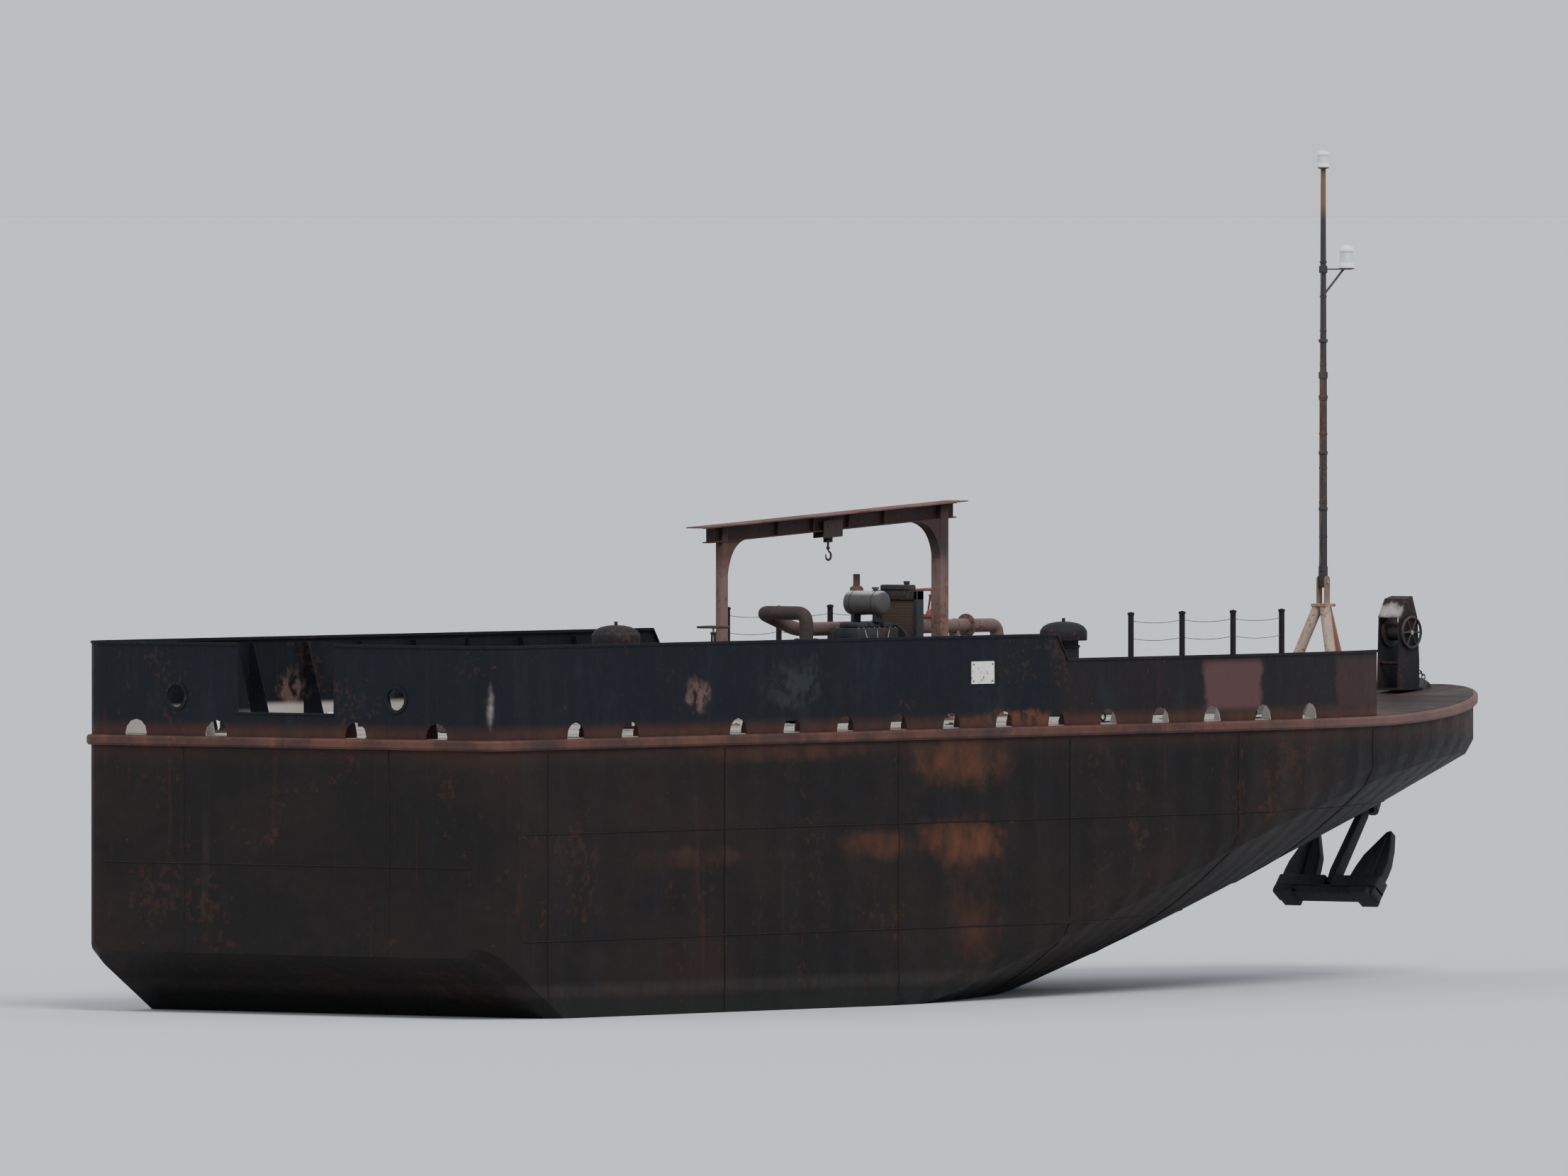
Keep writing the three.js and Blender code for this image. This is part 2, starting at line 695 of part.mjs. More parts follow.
function bed() {
  const z0 = DEPTH + GAP;
  const z1 = DEPTH + BED.height;
  const rails = [-1, 1].map((s) => {
    const [y0, y1] = [s * BED.half, s * (BED.half - 70)].sort((a, b) => a - b);
    return box([BED.from, BED.to], [y0, y1], [z0, z1]);
  });
  const bars = [BED.from, 8990, 9385, 9900, 10200, BED.to - 80].map((x) =>
    box([x, x + 80], [-BED.half + 20, BED.half - 20], [z0 + 30, z1]),
  );
  const bearing = join(
    box([9400, 9450], [-90, 90], [z1 - 5, SHAFT_Z + 70]),
    box([9380, 9470], [-150, 150], [z1 - 5, z1 + 20]),
  ).subtract(rod([9300, 0, SHAFT_Z], [9500, 0, SHAFT_Z], 31, 16));
  return join(rails, bars, bearing);
}

function engine() {
  const z0 = DEPTH + BED.height + GAP;
  const top = DEPTH + ENGINE.top;
  const { from, to, half } = ENGINE;
  const block = box([from, to], [-half + 40, half - 40], [z0 + 90, top - 180]);
  const sump = box([from + 60, to - 60], [-half + 90, half - 90], [z0 + 20, z0 + 100]);
  const feet = [from + 60, to - 160].map((x) => box([x, x + 100], [-half - 60, half + 60], [z0, z0 + 110]));
  const head = box([from + 40, to - 40], [-half + 70, half - 70], [top - 185, top - 60]);
  const covers = [0, 1, 2].map((k) => {
    const x = from + 90 + k * 220;
    return box([x, x + 170], [-half + 90, half - 90], [top - 65, top]);
  });
  const manifold = rod([from + 60, half - 40, EXHAUST_Z], [to - 60, half - 40, EXHAUST_Z], 50, 10);
  const exhaustPad = box(
    [EXHAUST_X - 50, EXHAUST_X + 50],
    [half - 40, EXHAUST_Y],
    [EXHAUST_Z - 44, EXHAUST_Z + 44],
  );
  const housing = rod([from - 40, 0, SHAFT_Z], [from + 5, 0, SHAFT_Z], 225, 20);
  return join(block, sump, feet, head, covers, manifold, exhaustPad, housing);
}

function radiator() {
  const z0 = DEPTH + BED.height + GAP;
  const frame = box([10450, 10570], [-310, 310], [z0, DEPTH + 1420]);
  const cap = box([10440, 10580], [-200, 200], [DEPTH + 1415, DEPTH + 1480]);
  const filler = rod([10510, -120, DEPTH + 1470], [10510, -120, DEPTH + 1520], 36, 12);
  const cowl = rod([10380, 0, DEPTH + 800], [10455, 0, DEPTH + 800], 260, 20);
  return join(frame, cap, filler, cowl);
}

function fuelTank() {
  const z = DEPTH + 1290;
  const shell = rod([9960, -260, z], [9960, 260, z], 130, 20);
  const filler = rod([9960, -120, z + 110], [9960, -120, z + 165], 40, 12);
  const strapSpan = [DEPTH + ENGINE.top + GAP, z - 60];
  const straps = [-150, 150].map((y) => box([9900, 10020], [y - 25, y + 25], strapSpan));
  return join(shell, filler, straps);
}

function exhaust() {
  const y = EXHAUST_Y + 110;
  const riser = pipe(
    [
      [EXHAUST_X, EXHAUST_Y + GAP, EXHAUST_Z],
      [EXHAUST_X, y, EXHAUST_Z],
      [EXHAUST_X, y, DEPTH + 1600],
    ],
    38,
    70,
    10,
  );
  const silencer = rod([EXHAUST_X, y, DEPTH + 1150], [EXHAUST_X, y, DEPTH + 1470], 75, 16);
  return join(riser, silencer);
}

function pump() {
  const z0 = DEPTH + BED.height + GAP;
  const x = 8900;
  const casing = rod([x - 110, 0, SHAFT_Z], [x + 110, 0, SHAFT_Z], 250, 22);
  const nose = rod([x + 105, 0, SHAFT_Z], [x + 230, 0, SHAFT_Z], 110, 16);
  const foot = box([x - 130, x + 130], [-240, 240], [z0, z0 + 40]);
  const pedestal = box([x - 80, x + 80], [-150, 150], [z0 + 30, SHAFT_Z]);
  const outlet = rod([x, 0, SHAFT_Z + 200], [x, 0, SHAFT_Z + 330], 84, 16);
  const outletFlange = rod([x, 0, SHAFT_Z + 306], [x, 0, SHAFT_Z + 332], 140, 16);
  const inlet = rod([x - 105, 0, SHAFT_Z], [x - 220, 0, SHAFT_Z], 90, 16);
  const inletFlange = rod([x - 194, 0, SHAFT_Z], [x - 220, 0, SHAFT_Z], 150, 16);
  return join(casing, nose, foot, pedestal, outlet, outletFlange, inlet, inletFlange);
}

// The shaft and coupling between pump and engine turn together.
function shaft() {
  const flywheelX = ENGINE.from - 46;
  return join(
    rod([9131, 0, SHAFT_Z], [flywheelX - 6, 0, SHAFT_Z], 30, 16),
    rod([9240, 0, SHAFT_Z], [9290, 0, SHAFT_Z], 120, 18),
    rod([9300, 0, SHAFT_Z], [9350, 0, SHAFT_Z], 120, 18),
    rod([9285, 0, SHAFT_Z], [9305, 0, SHAFT_Z], 70, 12),
    rod([9466, 0, SHAFT_Z], [flywheelX, 0, SHAFT_Z], 170, 22),
  );
}
addPiece("pump_bed", bed(), COLOURS.iron);
addPiece("pump_engine", engine(), COLOURS.machine);
addPiece("pump_radiator", radiator(), COLOURS.iron);
addPiece("pump_fuel_tank", fuelTank(), COLOURS.white, 0.5, 0);
addPiece("pump_exhaust", exhaust(), COLOURS.rust);
addPiece("pump_casing", pump(), COLOURS.machine);
addPiece("pump_shaft", shaft(), COLOURS.iron, 0.4, 0.8);

// Pipes: each has flanges at its ends and stands on saddles.
const PIPE_RADIUS = 76;
const PIPE_Y = 620;

function flange([x, y, z], axis, radius = 132, thickness = 24) {
  const far = [x, y, z];
  far["xyz".indexOf(axis)] += thickness;
  return rod([x, y, z], far, radius, 16);
}

function saddle(x, y, pipeZ) {
  return join(
    box([x - 20, x + 20], [y - 60, y + 60], [DEPTH + GAP, pipeZ]),
    box([x - 60, x + 60], [y - 90, y + 90], [DEPTH + GAP, DEPTH + 14]),
  );
}

// The neck of a pipe that a valve is bolted to.
const NECK_HEIGHT = PIPE_RADIUS + 24;
function neck(x, y, pipeZ) {
  return rod([x, y, pipeZ], [x, y, pipeZ + NECK_HEIGHT], 90, 14);
}

const VALVE_AFT = { x: 6500, y: -PIPE_Y, z: DEPTH + 330, top: DEPTH + 1080 };
const VALVE_FORWARD = { x: 11900, y: PIPE_Y, z: DEPTH + 1000, top: DEPTH + 1400 };
const DELIVERY_Z = VALVE_FORWARD.z;
const deliveryStart = SHAFT_Z + 332 + GAP;
const pipeForward = join(
  pipe(
    [
      [8900, 0, deliveryStart],
      [8900, 0, DELIVERY_Z + 190],
      [8900, PIPE_Y, DELIVERY_Z + 190],
      [9500, PIPE_Y, DELIVERY_Z],
      [13060, PIPE_Y, DELIVERY_Z],
      [13060, PIPE_Y, DEPTH + GAP],
    ],
    PIPE_RADIUS,
    120,
    12,
  ),
  flange([8900, 0, deliveryStart], "z"),
  flange([11000, PIPE_Y, DELIVERY_Z], "x"),
  flange([12500, PIPE_Y, DELIVERY_Z], "x"),
  flange([13060, PIPE_Y, DEPTH + GAP], "z"),
  saddle(10860, PIPE_Y, DELIVERY_Z),
  saddle(12300, PIPE_Y, DELIVERY_Z),
  neck(VALVE_FORWARD.x, PIPE_Y, DELIVERY_Z),
);
addPiece("pipe_forward", pipeForward, COLOURS.primer);

const SUCTION_END = 8680 - GAP;
const pipeAft = join(
  pipe(
    [
      [SUCTION_END, 0, SHAFT_Z],
      [8300, 0, SHAFT_Z],
      [8300, 0, DEPTH + 330],
      [8300, -PIPE_Y, DEPTH + 330],
      [4400, -PIPE_Y, DEPTH + 330],
      [4400, -PIPE_Y, DEPTH + GAP],
    ],
    PIPE_RADIUS,
    110,
    12,
  ),
  flange([SUCTION_END - 24, 0, SHAFT_Z], "x"),
  flange([4400, -PIPE_Y, DEPTH + GAP], "z"),
  flange([6200, -PIPE_Y, DEPTH + 330], "x"),
  flange([6800, -PIPE_Y, DEPTH + 330], "x"),
  saddle(5600, -PIPE_Y, DEPTH + 330),
  saddle(7300, -PIPE_Y, DEPTH + 330),
  neck(VALVE_AFT.x, -PIPE_Y, DEPTH + 330),
);
addPiece("pipe_aft", pipeAft, COLOURS.primer);

// Gate valves: bonnet, yoke, spindle and handwheel, bolted to the neck of a pipe.
function valve({ x, y, z, top }) {
  const seat = z + NECK_HEIGHT + GAP;
  return join(
    rod([x, y, seat], [x, y, seat + 30], 105, 14),
    rod([x, y, seat + 20], [x, y, seat + 90], 66, 14),
    [-1, 1].map((s) => rod([x, y + s * 52, seat + 80], [x, y + s * 20, top - 60], 12, 8)),
    rod([x, y, top - 75], [x, y, top - 50], 34, 10),
    rod([x, y, seat + 80], [x, y, top], 13, 8),
    handwheel([x, y, top], 170),
  );
}
addPiece("valve_aft", valve(VALVE_AFT), COLOURS.primer);
addPiece("valve_forward", valve(VALVE_FORWARD), COLOURS.redLead);

// Mushroom ventilators to the holds.
const VENTS = [
  { place: "aft", x: 5600, height: 1150 },
  { place: "forward", x: 13450, height: 1080 },
];
for (const { place, x, height } of VENTS) {
  const rows = [
    [0, GAP],
    [240, GAP],
    [240, 24],
    [170, 24],
    [170, height - 260],
    [262, height - 250],
    [262, height - 130],
    [200, height - 60],
    [90, height - 10],
    [0, height],
  ];
  addPiece(`ventilator_${place}`, turned([x, 0, DEPTH], rows, 24), COLOURS.machine);
}

// Deck hatches: a raised coaming with an open middle, and a lid hinged at its forward edge.
const COAMING_HEIGHT = 330;
const COAMING_WALL = 12;
const LID_THICKNESS = 16;
const LID_RIM = 60;
const HINGE_RADIUS = 14;
const HATCHES = [
  { place: "aft", x: 3050, half: 420 },
  { place: "forward", x: 14800, half: 380 },
];

function coaming({ x, half }) {
  const z0 = DEPTH + GAP;
  const z1 = DEPTH + COAMING_HEIGHT;
  const inner = half - COAMING_WALL;
  const walls = box([x - half, x + half], [-half, half], [z0, z1]).subtract(
    box([x - inner, x + inner], [-inner, inner], [z0 + 20, z1 + 50]),
  );
  const lugs = [-1, 1].map((s) => {
    const [y0, y1] = [s * 230, s * 244].sort((a, b) => a - b);
    const shape = outline([
      [x + half - 4, z1 - 90],
      [x + half + 50, z1 - 20],
      [x + half + 50, z1 + 44],
      [x + half + 14, z1 + 44],
      [x + half + 2, z1 - 8],
    ]);
    return plateAlong(shape, [y0, y1]);
  });
  const pins = rod([x + half + 32, -252, z1 + 24], [x + half + 32, 252, z1 + 24], HINGE_RADIUS - 4, 12);
  return join(walls, lugs, pins);
}

function lid({ x, half }) {
  const z1 = DEPTH + COAMING_HEIGHT + GAP;
  const reach = half + 16;
  const skin = box([x - reach, x + half - 3], [-reach, reach], [z1, z1 + LID_THICKNESS]);
  const rims = [
    box([x - reach, x - half - 6], [-reach, reach], [z1 - LID_RIM, z1 + 4]),
    box([x - reach, x + half - 20], [half + 6, reach], [z1 - LID_RIM, z1 + 4]),
    box([x - reach, x + half - 20], [-reach, -half - 6], [z1 - LID_RIM, z1 + 4]),
  ];
  const pinZ = DEPTH + COAMING_HEIGHT + 24;
  const knuckles = [-1, 1].map((s) => {
    const [y0, y1] = [s * 190, s * 222].sort((a, b) => a - b);
    return join(
      rod([x + half + 32, y0, pinZ], [x + half + 32, y1, pinZ], HINGE_RADIUS + 8, 14),
      box([x + half - 60, x + half + 30], [y0, y1], [z1 + 2, z1 + LID_THICKNESS + 10]),
    );
  });
  const handle = pipe(
    [
      [x - half + 60, -90, z1 + LID_THICKNESS - 2],
      [x - half + 60, -90, z1 + LID_THICKNESS + 60],
      [x - half + 60, 90, z1 + LID_THICKNESS + 60],
      [x - half + 60, 90, z1 + LID_THICKNESS - 2],
    ],
    9,
    20,
    8,
    2,
  );
  const bore = rod([x + half + 32, -300, pinZ], [x + half + 32, 300, pinZ], HINGE_RADIUS - 3.5, 12);
  return join(skin, rims, knuckles, handle).subtract(bore);
}
for (const hatch of HATCHES) {
  addPiece(`hatch_coaming_${hatch.place}`, coaming(hatch), COLOURS.hull);
  addPiece(`hatch_lid_${hatch.place}`, lid(hatch), COLOURS.rust);
}

// Lantern mast: three legs carry a fork, and the pole folds aft about the fork's pin.
const MAST_X = 18150;
const MAST_DECK = plateHeight(MAST_X);
const MAST_PIN_Z = MAST_DECK + 1330;
const MAST_TOP_Z = DEPTH + 6000;
const FORK_HALF_GAP = 48;
const LEG_RADIUS = 60;

function tripod() {
  const head = MAST_DECK + 1080;
  const feet = [
    { x: MAST_X + 430, y: 0 },
    { x: MAST_X - 280, y: 400 },
    { x: MAST_X - 280, y: -400 },
  ];
  const legs = feet.map((foot) => {
    const floor = plateHeight(foot.x + 80);
    const ease = (foot.x - MAST_X) * 0.1;
    return join(
      rod([foot.x, foot.y, floor + 30], [MAST_X + ease, foot.y * 0.1, head], LEG_RADIUS, 12),
      box([foot.x - 80, foot.x + 80], [foot.y - 80, foot.y + 80], [floor + GAP, floor + 18]),
    );
  });
  const plate = box([MAST_X - 100, MAST_X + 100], [-100, 100], [head - 20, head + 16]);
  const cheeks = [-1, 1].map((s) => {
    const [y0, y1] = [s * FORK_HALF_GAP, s * (FORK_HALF_GAP + 12)].sort((a, b) => a - b);
    return box([MAST_X - 50, MAST_X + 50], [y0, y1], [head + 10, MAST_PIN_Z + 70]);
  });
  const pin = rod([MAST_X, -75, MAST_PIN_Z], [MAST_X, 75, MAST_PIN_Z], 16, 14);
  return join(legs, plate, cheeks, pin);
}

// The pole: heel block on the pin, two tube lengths, cleat steps and the lantern bracket.
const BRACKET_Z = DEPTH + 4880;
const BRACKET_REACH = 430;

function pole() {
  const bore = rod([MAST_X, -100, MAST_PIN_Z], [MAST_X, 100, MAST_PIN_Z], 16.5, 14);
  const heel = box([MAST_X - 36, MAST_X + 36], [-42, 42], [MAST_PIN_Z - 60, MAST_PIN_Z + 180]);
  const joinZ = DEPTH + 3700;
  const tubes = join(
    rod([MAST_X, 0, MAST_PIN_Z + 120], [MAST_X, 0, joinZ], 46, 14, 42),
    rod([MAST_X, 0, joinZ - 40], [MAST_X, 0, joinZ + 40], 52, 14),
    rod([MAST_X, 0, joinZ], [MAST_X, 0, MAST_TOP_Z], 38, 12, 28),
  );
  const tableX = MAST_X + BRACKET_REACH;
  const bracket = join(
    box([MAST_X, tableX + 60], [-26, 26], [BRACKET_Z - 16, BRACKET_Z]),
    rod([MAST_X, 0, BRACKET_Z - 300], [tableX - 60, 0, BRACKET_Z - 10], 13, 8),
    box([tableX - 90, tableX + 90], [-90, 90], [BRACKET_Z - 10, BRACKET_Z + 2]),
  );
  const collar = rod([MAST_X, 0, BRACKET_Z - 50], [MAST_X, 0, BRACKET_Z + 30], 48, 14);
  const table = rod([MAST_X, 0, MAST_TOP_Z - 20], [MAST_X, 0, MAST_TOP_Z], 62, 14);
  return join(heel, tubes, bracket, collar, table).subtract(bore);
}

// A lantern: base, clear body and hood, turned in one piece.
function lantern([x, y, z], radius, height) {
  const rows = [
    [0, GAP],
    [radius, GAP],
    [radius, height * 0.22],
    [radius * 0.82, height * 0.26],
    [radius * 0.82, height * 0.7],
    [radius, height * 0.74],
    [radius * 0.9, height * 0.86],
    [radius * 0.4, height],
    [0, height],
  ];
  return turned([x, y, z], rows, 18);
}
addPiece("mast_tripod", tripod(), COLOURS.rust);
addPiece("mast_pole", pole(), COLOURS.iron);
addPiece("lantern_masthead", lantern([MAST_X, 0, MAST_TOP_Z], 70, 190), COLOURS.white, 0.4, 0);
addPiece(
  "lantern_bracket",
  lantern([MAST_X + BRACKET_REACH, 0, BRACKET_Z + 2], 84, 260),
  COLOURS.white,
  0.4,
  0,
);

// Anchor windlass near the stem: two cheeks on a base, and the chain drum with its crank wheel.
const WINDLASS_X = 19540;
const WINDLASS_DECK = plateHeight(WINDLASS_X + 200);
const DRUM_Z = WINDLASS_DECK + 640;
const CHEEK_INNER = 130;
const BARREL_RADIUS = 95;

function windlassFrame() {
  const z = WINDLASS_DECK;
  const shape = outline([
    [WINDLASS_X - 210, z + 10],
    [WINDLASS_X + 185, z + 10],
    [WINDLASS_X + 185, z + 330],
    [WINDLASS_X + 150, z + 800],
    [WINDLASS_X + 60, z + 1030],
    [WINDLASS_X - 60, z + 1000],
    [WINDLASS_X - 180, z + 800],
  ]);
  const cheeks = [-1, 1].map((s) => {
    const [y0, y1] = [s * CHEEK_INNER, s * (CHEEK_INNER + 18)].sort((a, b) => a - b);
    return plateAlong(shape, [y0, y1]);
  });
  const base = box([WINDLASS_X - 240, WINDLASS_X + 200], [-190, 190], [z + GAP, z + 20]);
  const tieEnd = (side) => [WINDLASS_X - 150, side * (CHEEK_INNER + 5), z + 300];
  const tie = rod(tieEnd(-1), tieEnd(1), 20, 10);
  const hood = plateAlong(
    outline([
      [WINDLASS_X - 180, z + 800],
      [WINDLASS_X - 60, z + 1000],
      [WINDLASS_X + 60, z + 1030],
      [WINDLASS_X + 64, z + 1042],
      [WINDLASS_X - 66, z + 1012],
      [WINDLASS_X - 190, z + 806],
    ]),
    [-CHEEK_INNER - 18, CHEEK_INNER + 18],
  );
  const bore = rod([WINDLASS_X, -400, DRUM_Z], [WINDLASS_X, 400, DRUM_Z], 29, 16);
  return join(cheeks, base, tie, hood).subtract(bore);
}

function windlassDrum() {
  const y = CHEEK_INNER;
  const body = join(
    rod([WINDLASS_X, -y + 8, DRUM_Z], [WINDLASS_X, -y + 30, DRUM_Z], 165, 24),
    rod([WINDLASS_X, y - 30, DRUM_Z], [WINDLASS_X, y - 8, DRUM_Z], 165, 24),
    rod([WINDLASS_X, -y + 20, DRUM_Z], [WINDLASS_X, y - 20, DRUM_Z], BARREL_RADIUS, 20),
    rod([WINDLASS_X, -y - 60, DRUM_Z], [WINDLASS_X, y + 40, DRUM_Z], 28, 16),
  );
  const rim = new THREE.TorusGeometry(170, 16, 6, 20);
  rim.rotateX(Math.PI / 2);
  rim.translate(WINDLASS_X, -y - 48, DRUM_Z);
  const spokes = [0, 1, 2].map((k) => {
    const turn = (k * Math.PI) / 3;
    const [dx, dz] = [170 * Math.cos(turn), 170 * Math.sin(turn)];
    const at = (s) => [WINDLASS_X + s * dx, -y - 48, DRUM_Z + s * dz];
    return rod(at(-1), at(1), 10, 6);
  });
  return join(body, solidOf(rim), spokes);
}
addPiece("windlass_frame", windlassFrame(), COLOURS.iron);
addPiece("windlass_drum", windlassDrum(), COLOURS.machine);

// Hawse pipe through the hull, with a deck ring and a bell mouth under the bow.
const HAWSE_MOUTH_Z = bottomHeight(hawseAt(2550)[0], 0) - 110;
function hawsePipe() {
  const bell = hawseAt(HAWSE_MOUTH_Z);
  const bellTop = hawseAt(HAWSE_MOUTH_Z + 130);
  const deckRing = hawseAt(HAWSE_DECK[2] + 50);
  const tube = rod(bell, deckRing, HAWSE_RADIUS - HAWSE_FIT, 16);
  const collar = rod(bell, bellTop, HAWSE_RADIUS + 34, 16, HAWSE_RADIUS + 14);
  const bore = rod(hawseAt(1200), hawseAt(4600), HAWSE_RADIUS - 16, 16);
  return collar
    .subtract(hullShell.translate([0, 0, -GAP]))
    .add(tube)
    .subtract(bore);
}
addPiece("hawse_pipe", hawsePipe(), COLOURS.iron);

// Stockless anchor, hauled up with its flukes along the shank. It is drawn upright, then leant
// to the line of the hawse pipe about the pin in its crown.
const ANCHOR_PIN = hawseAt(1620);
const SHANK_LENGTH = 1010;
const CROWN_HALF = 700;
const ANCHOR_LEAN = (Math.atan(HAWSE_SLOPE) * 180) / Math.PI;
const leanAnchor = (solid) => solid.rotate([0, ANCHOR_LEAN, 0]).translate(ANCHOR_PIN);

function anchorShank() {
  const bar = plateAlong(
    outline([
      [-50, -30],
      [50, -30],
      [78, 140],
      [60, SHANK_LENGTH - 70],
      [30, SHANK_LENGTH],
      [-30, SHANK_LENGTH],
      [-60, SHANK_LENGTH - 70],
      [-78, 140],
    ]),
    [-48, 48],
  );
  const pin = rod([0, -150, 0], [0, 150, 0], 26.3, 14);
  return join(bar, pin);
}

function anchorArms() {
  const crown = join(
    box([-95, 95], [-CROWN_HALF, -56], [-130, 60]),
    box([-95, 95], [56, CROWN_HALF], [-130, 60]),
    box([-95, 95], [-CROWN_HALF, CROWN_HALF], [-190, -66]),
  );
  const flukes = [-1, 1].map((s) => {
    const shape = outline([
      [s * 230, 20],
      [s * 690, 20],
      [s * 690, 260],
      [s * 540, 700],
      [s * 480, 680],
      [s * 300, 360],
    ]);
    return plateAcross(shape, [-56, 56]);
  });
  const palms = [-1, 1].map((s) => {
    const [y0, y1] = [s * 420, s * 650].sort((a, b) => a - b);
    return box([-150, 150], [y0, y1], [-210, -130]);
  });
  const bore = rod([0, -170, 0], [0, 170, 0], 27, 14);
  return join(crown, flukes, palms).subtract(bore);
}
addPiece("anchor_shank", leanAnchor(anchorShank()), COLOURS.iron);
addPiece("anchor_arms", leanAnchor(anchorArms()), COLOURS.iron);

// Anchor chain: down from the drum into the hawse pipe, then along it to the shank.
const CHAIN_RADIUS = 28;
const SHANK_TOP_Z = ANCHOR_PIN[2] + SHANK_LENGTH * Math.cos(Math.atan(HAWSE_SLOPE));
const chainX = WINDLASS_X + BARREL_RADIUS + CHAIN_RADIUS + GAP;
const chainLine = pipe(
  [
    [chainX, 0, DRUM_Z + 8],
    [chainX, 0, DRUM_Z - 320],
    hawseAt(HAWSE_DECK[2] + 130),
    hawseAt(SHANK_TOP_Z + GAP),
  ],
  CHAIN_RADIUS,
  60,
  8,
);
addPiece("anchor_chain", chainLine, COLOURS.iron);

export default barge;
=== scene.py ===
import math

import bmesh
import bpy
from mathutils import Matrix, Vector
from mathutils.bvhtree import BVHTree


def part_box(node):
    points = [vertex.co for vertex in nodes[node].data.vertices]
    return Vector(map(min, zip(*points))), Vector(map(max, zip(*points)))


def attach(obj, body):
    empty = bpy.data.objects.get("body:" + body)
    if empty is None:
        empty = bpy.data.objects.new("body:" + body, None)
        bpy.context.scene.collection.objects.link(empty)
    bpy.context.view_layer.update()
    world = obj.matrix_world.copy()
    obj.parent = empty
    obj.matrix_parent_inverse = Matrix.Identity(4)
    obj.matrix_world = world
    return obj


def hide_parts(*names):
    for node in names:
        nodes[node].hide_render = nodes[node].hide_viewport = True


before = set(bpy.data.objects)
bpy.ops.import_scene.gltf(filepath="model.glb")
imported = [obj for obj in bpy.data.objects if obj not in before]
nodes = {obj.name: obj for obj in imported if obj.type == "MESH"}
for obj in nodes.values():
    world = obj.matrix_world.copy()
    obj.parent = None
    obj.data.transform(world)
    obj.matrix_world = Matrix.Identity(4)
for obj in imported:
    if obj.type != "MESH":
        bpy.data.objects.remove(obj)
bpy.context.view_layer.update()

# Studio: a pale floor at the light waterline, where the barge would float, and soft daylight from
# the camera's side. The camera looks across the water from astern on the starboard side, from
# far off with a long lens.
WATERLINE = 0.6
bpy.ops.mesh.primitive_circle_add(vertices=96, radius=2400, fill_type="NGON", location=(0, 0, WATERLINE))
floor = bpy.context.object
floor.name = "studio_floor"
floor_paint = bpy.data.materials.new("pale_floor")
floor_paint.use_nodes = True
floor_shader = floor_paint.node_tree.nodes["Principled BSDF"]
floor_shader.inputs["Base Color"].default_value = (0.535, 0.552, 0.575, 1)
floor_shader.inputs["Roughness"].default_value = 0.9
floor.data.materials.append(floor_paint)

sky = bpy.data.worlds.new("studio_sky")
bpy.context.scene.world = sky
sky.use_nodes = True
sky.node_tree.nodes["Background"].inputs["Color"].default_value = (0.8, 0.84, 0.9, 1)
sky.node_tree.nodes["Background"].inputs["Strength"].default_value = 0.95

for label, strength, spread, pitch, heading in (
    ("soft_key", 2.6, 28, 48, -28),
    ("soft_fill", 0.7, 60, 30, -120),
):
    sun = bpy.data.lights.new(label, "SUN")
    sun.energy = strength
    sun.angle = math.radians(spread)
    holder = bpy.data.objects.new(label, sun)
    holder.rotation_euler = (math.radians(90 - pitch), 0, math.radians(heading))
    bpy.context.collection.objects.link(holder)

CAMERA_HEADING = math.radians(51.75)
CAMERA_RUN = 309.6
CAMERA_HEIGHT = WATERLINE + 9.5
LOOK_AT = Vector((-0.75, 0.7, 5.0))
SENSOR_WIDTH = 36
VIEW_WIDTH = 17.0
camera_data = bpy.data.cameras.new("river_bank_camera")
camera_data.sensor_width = SENSOR_WIDTH
camera_data.lens = SENSOR_WIDTH * CAMERA_RUN / VIEW_WIDTH
camera_data.clip_start = 5
camera_data.clip_end = 6000
camera = bpy.data.objects.new("river_bank_camera", camera_data)
camera.location = (
    LOOK_AT.x - CAMERA_RUN * math.sin(CAMERA_HEADING),
    LOOK_AT.y - CAMERA_RUN * math.cos(CAMERA_HEADING),
    CAMERA_HEIGHT,
)
camera.rotation_euler = (LOOK_AT - camera.location).to_track_quat("-Z", "Y").to_euler()
bpy.context.collection.objects.link(camera)
bpy.context.scene.camera = camera


# Hull: dark bottom paint over welded mild-steel plate, sun-bleached and streaked by rust that runs
# down from the deck edge. The plate is dished between frames 0.55 m apart. The deck on top is a
# pale, dusty grey, and red-brown at the bow.
class Nodes:
    """A node tree in the making. A kind of node without "Node" in its name gets the tree's prefix."""

    def __init__(self, tree, prefix):
        self.tree = tree
        self.prefix = prefix

    def join(self, value, socket):
        if isinstance(value, bpy.types.NodeSocket):
            self.tree.links.new(value, socket)
        else:
            socket.default_value = value

    def add(self, kind, given=(), **settings):
        """A node; given holds the values or links of its sockets, in their order or by their names."""
        node = self.tree.nodes.new(kind if "Node" in kind else self.prefix + kind)
        for key, value in settings.items():
            setattr(node, key, value)
        for key, value in given.items() if isinstance(given, dict) else enumerate(given):
            self.join(value, node.inputs[key])
        return node

    def out(self, kind, given=(), **settings):
        return self.add(kind, given, **settings).outputs[0]


RUST_DARK = (0.085, 0.032, 0.018)
RUST_ORANGE = (0.3, 0.085, 0.024)


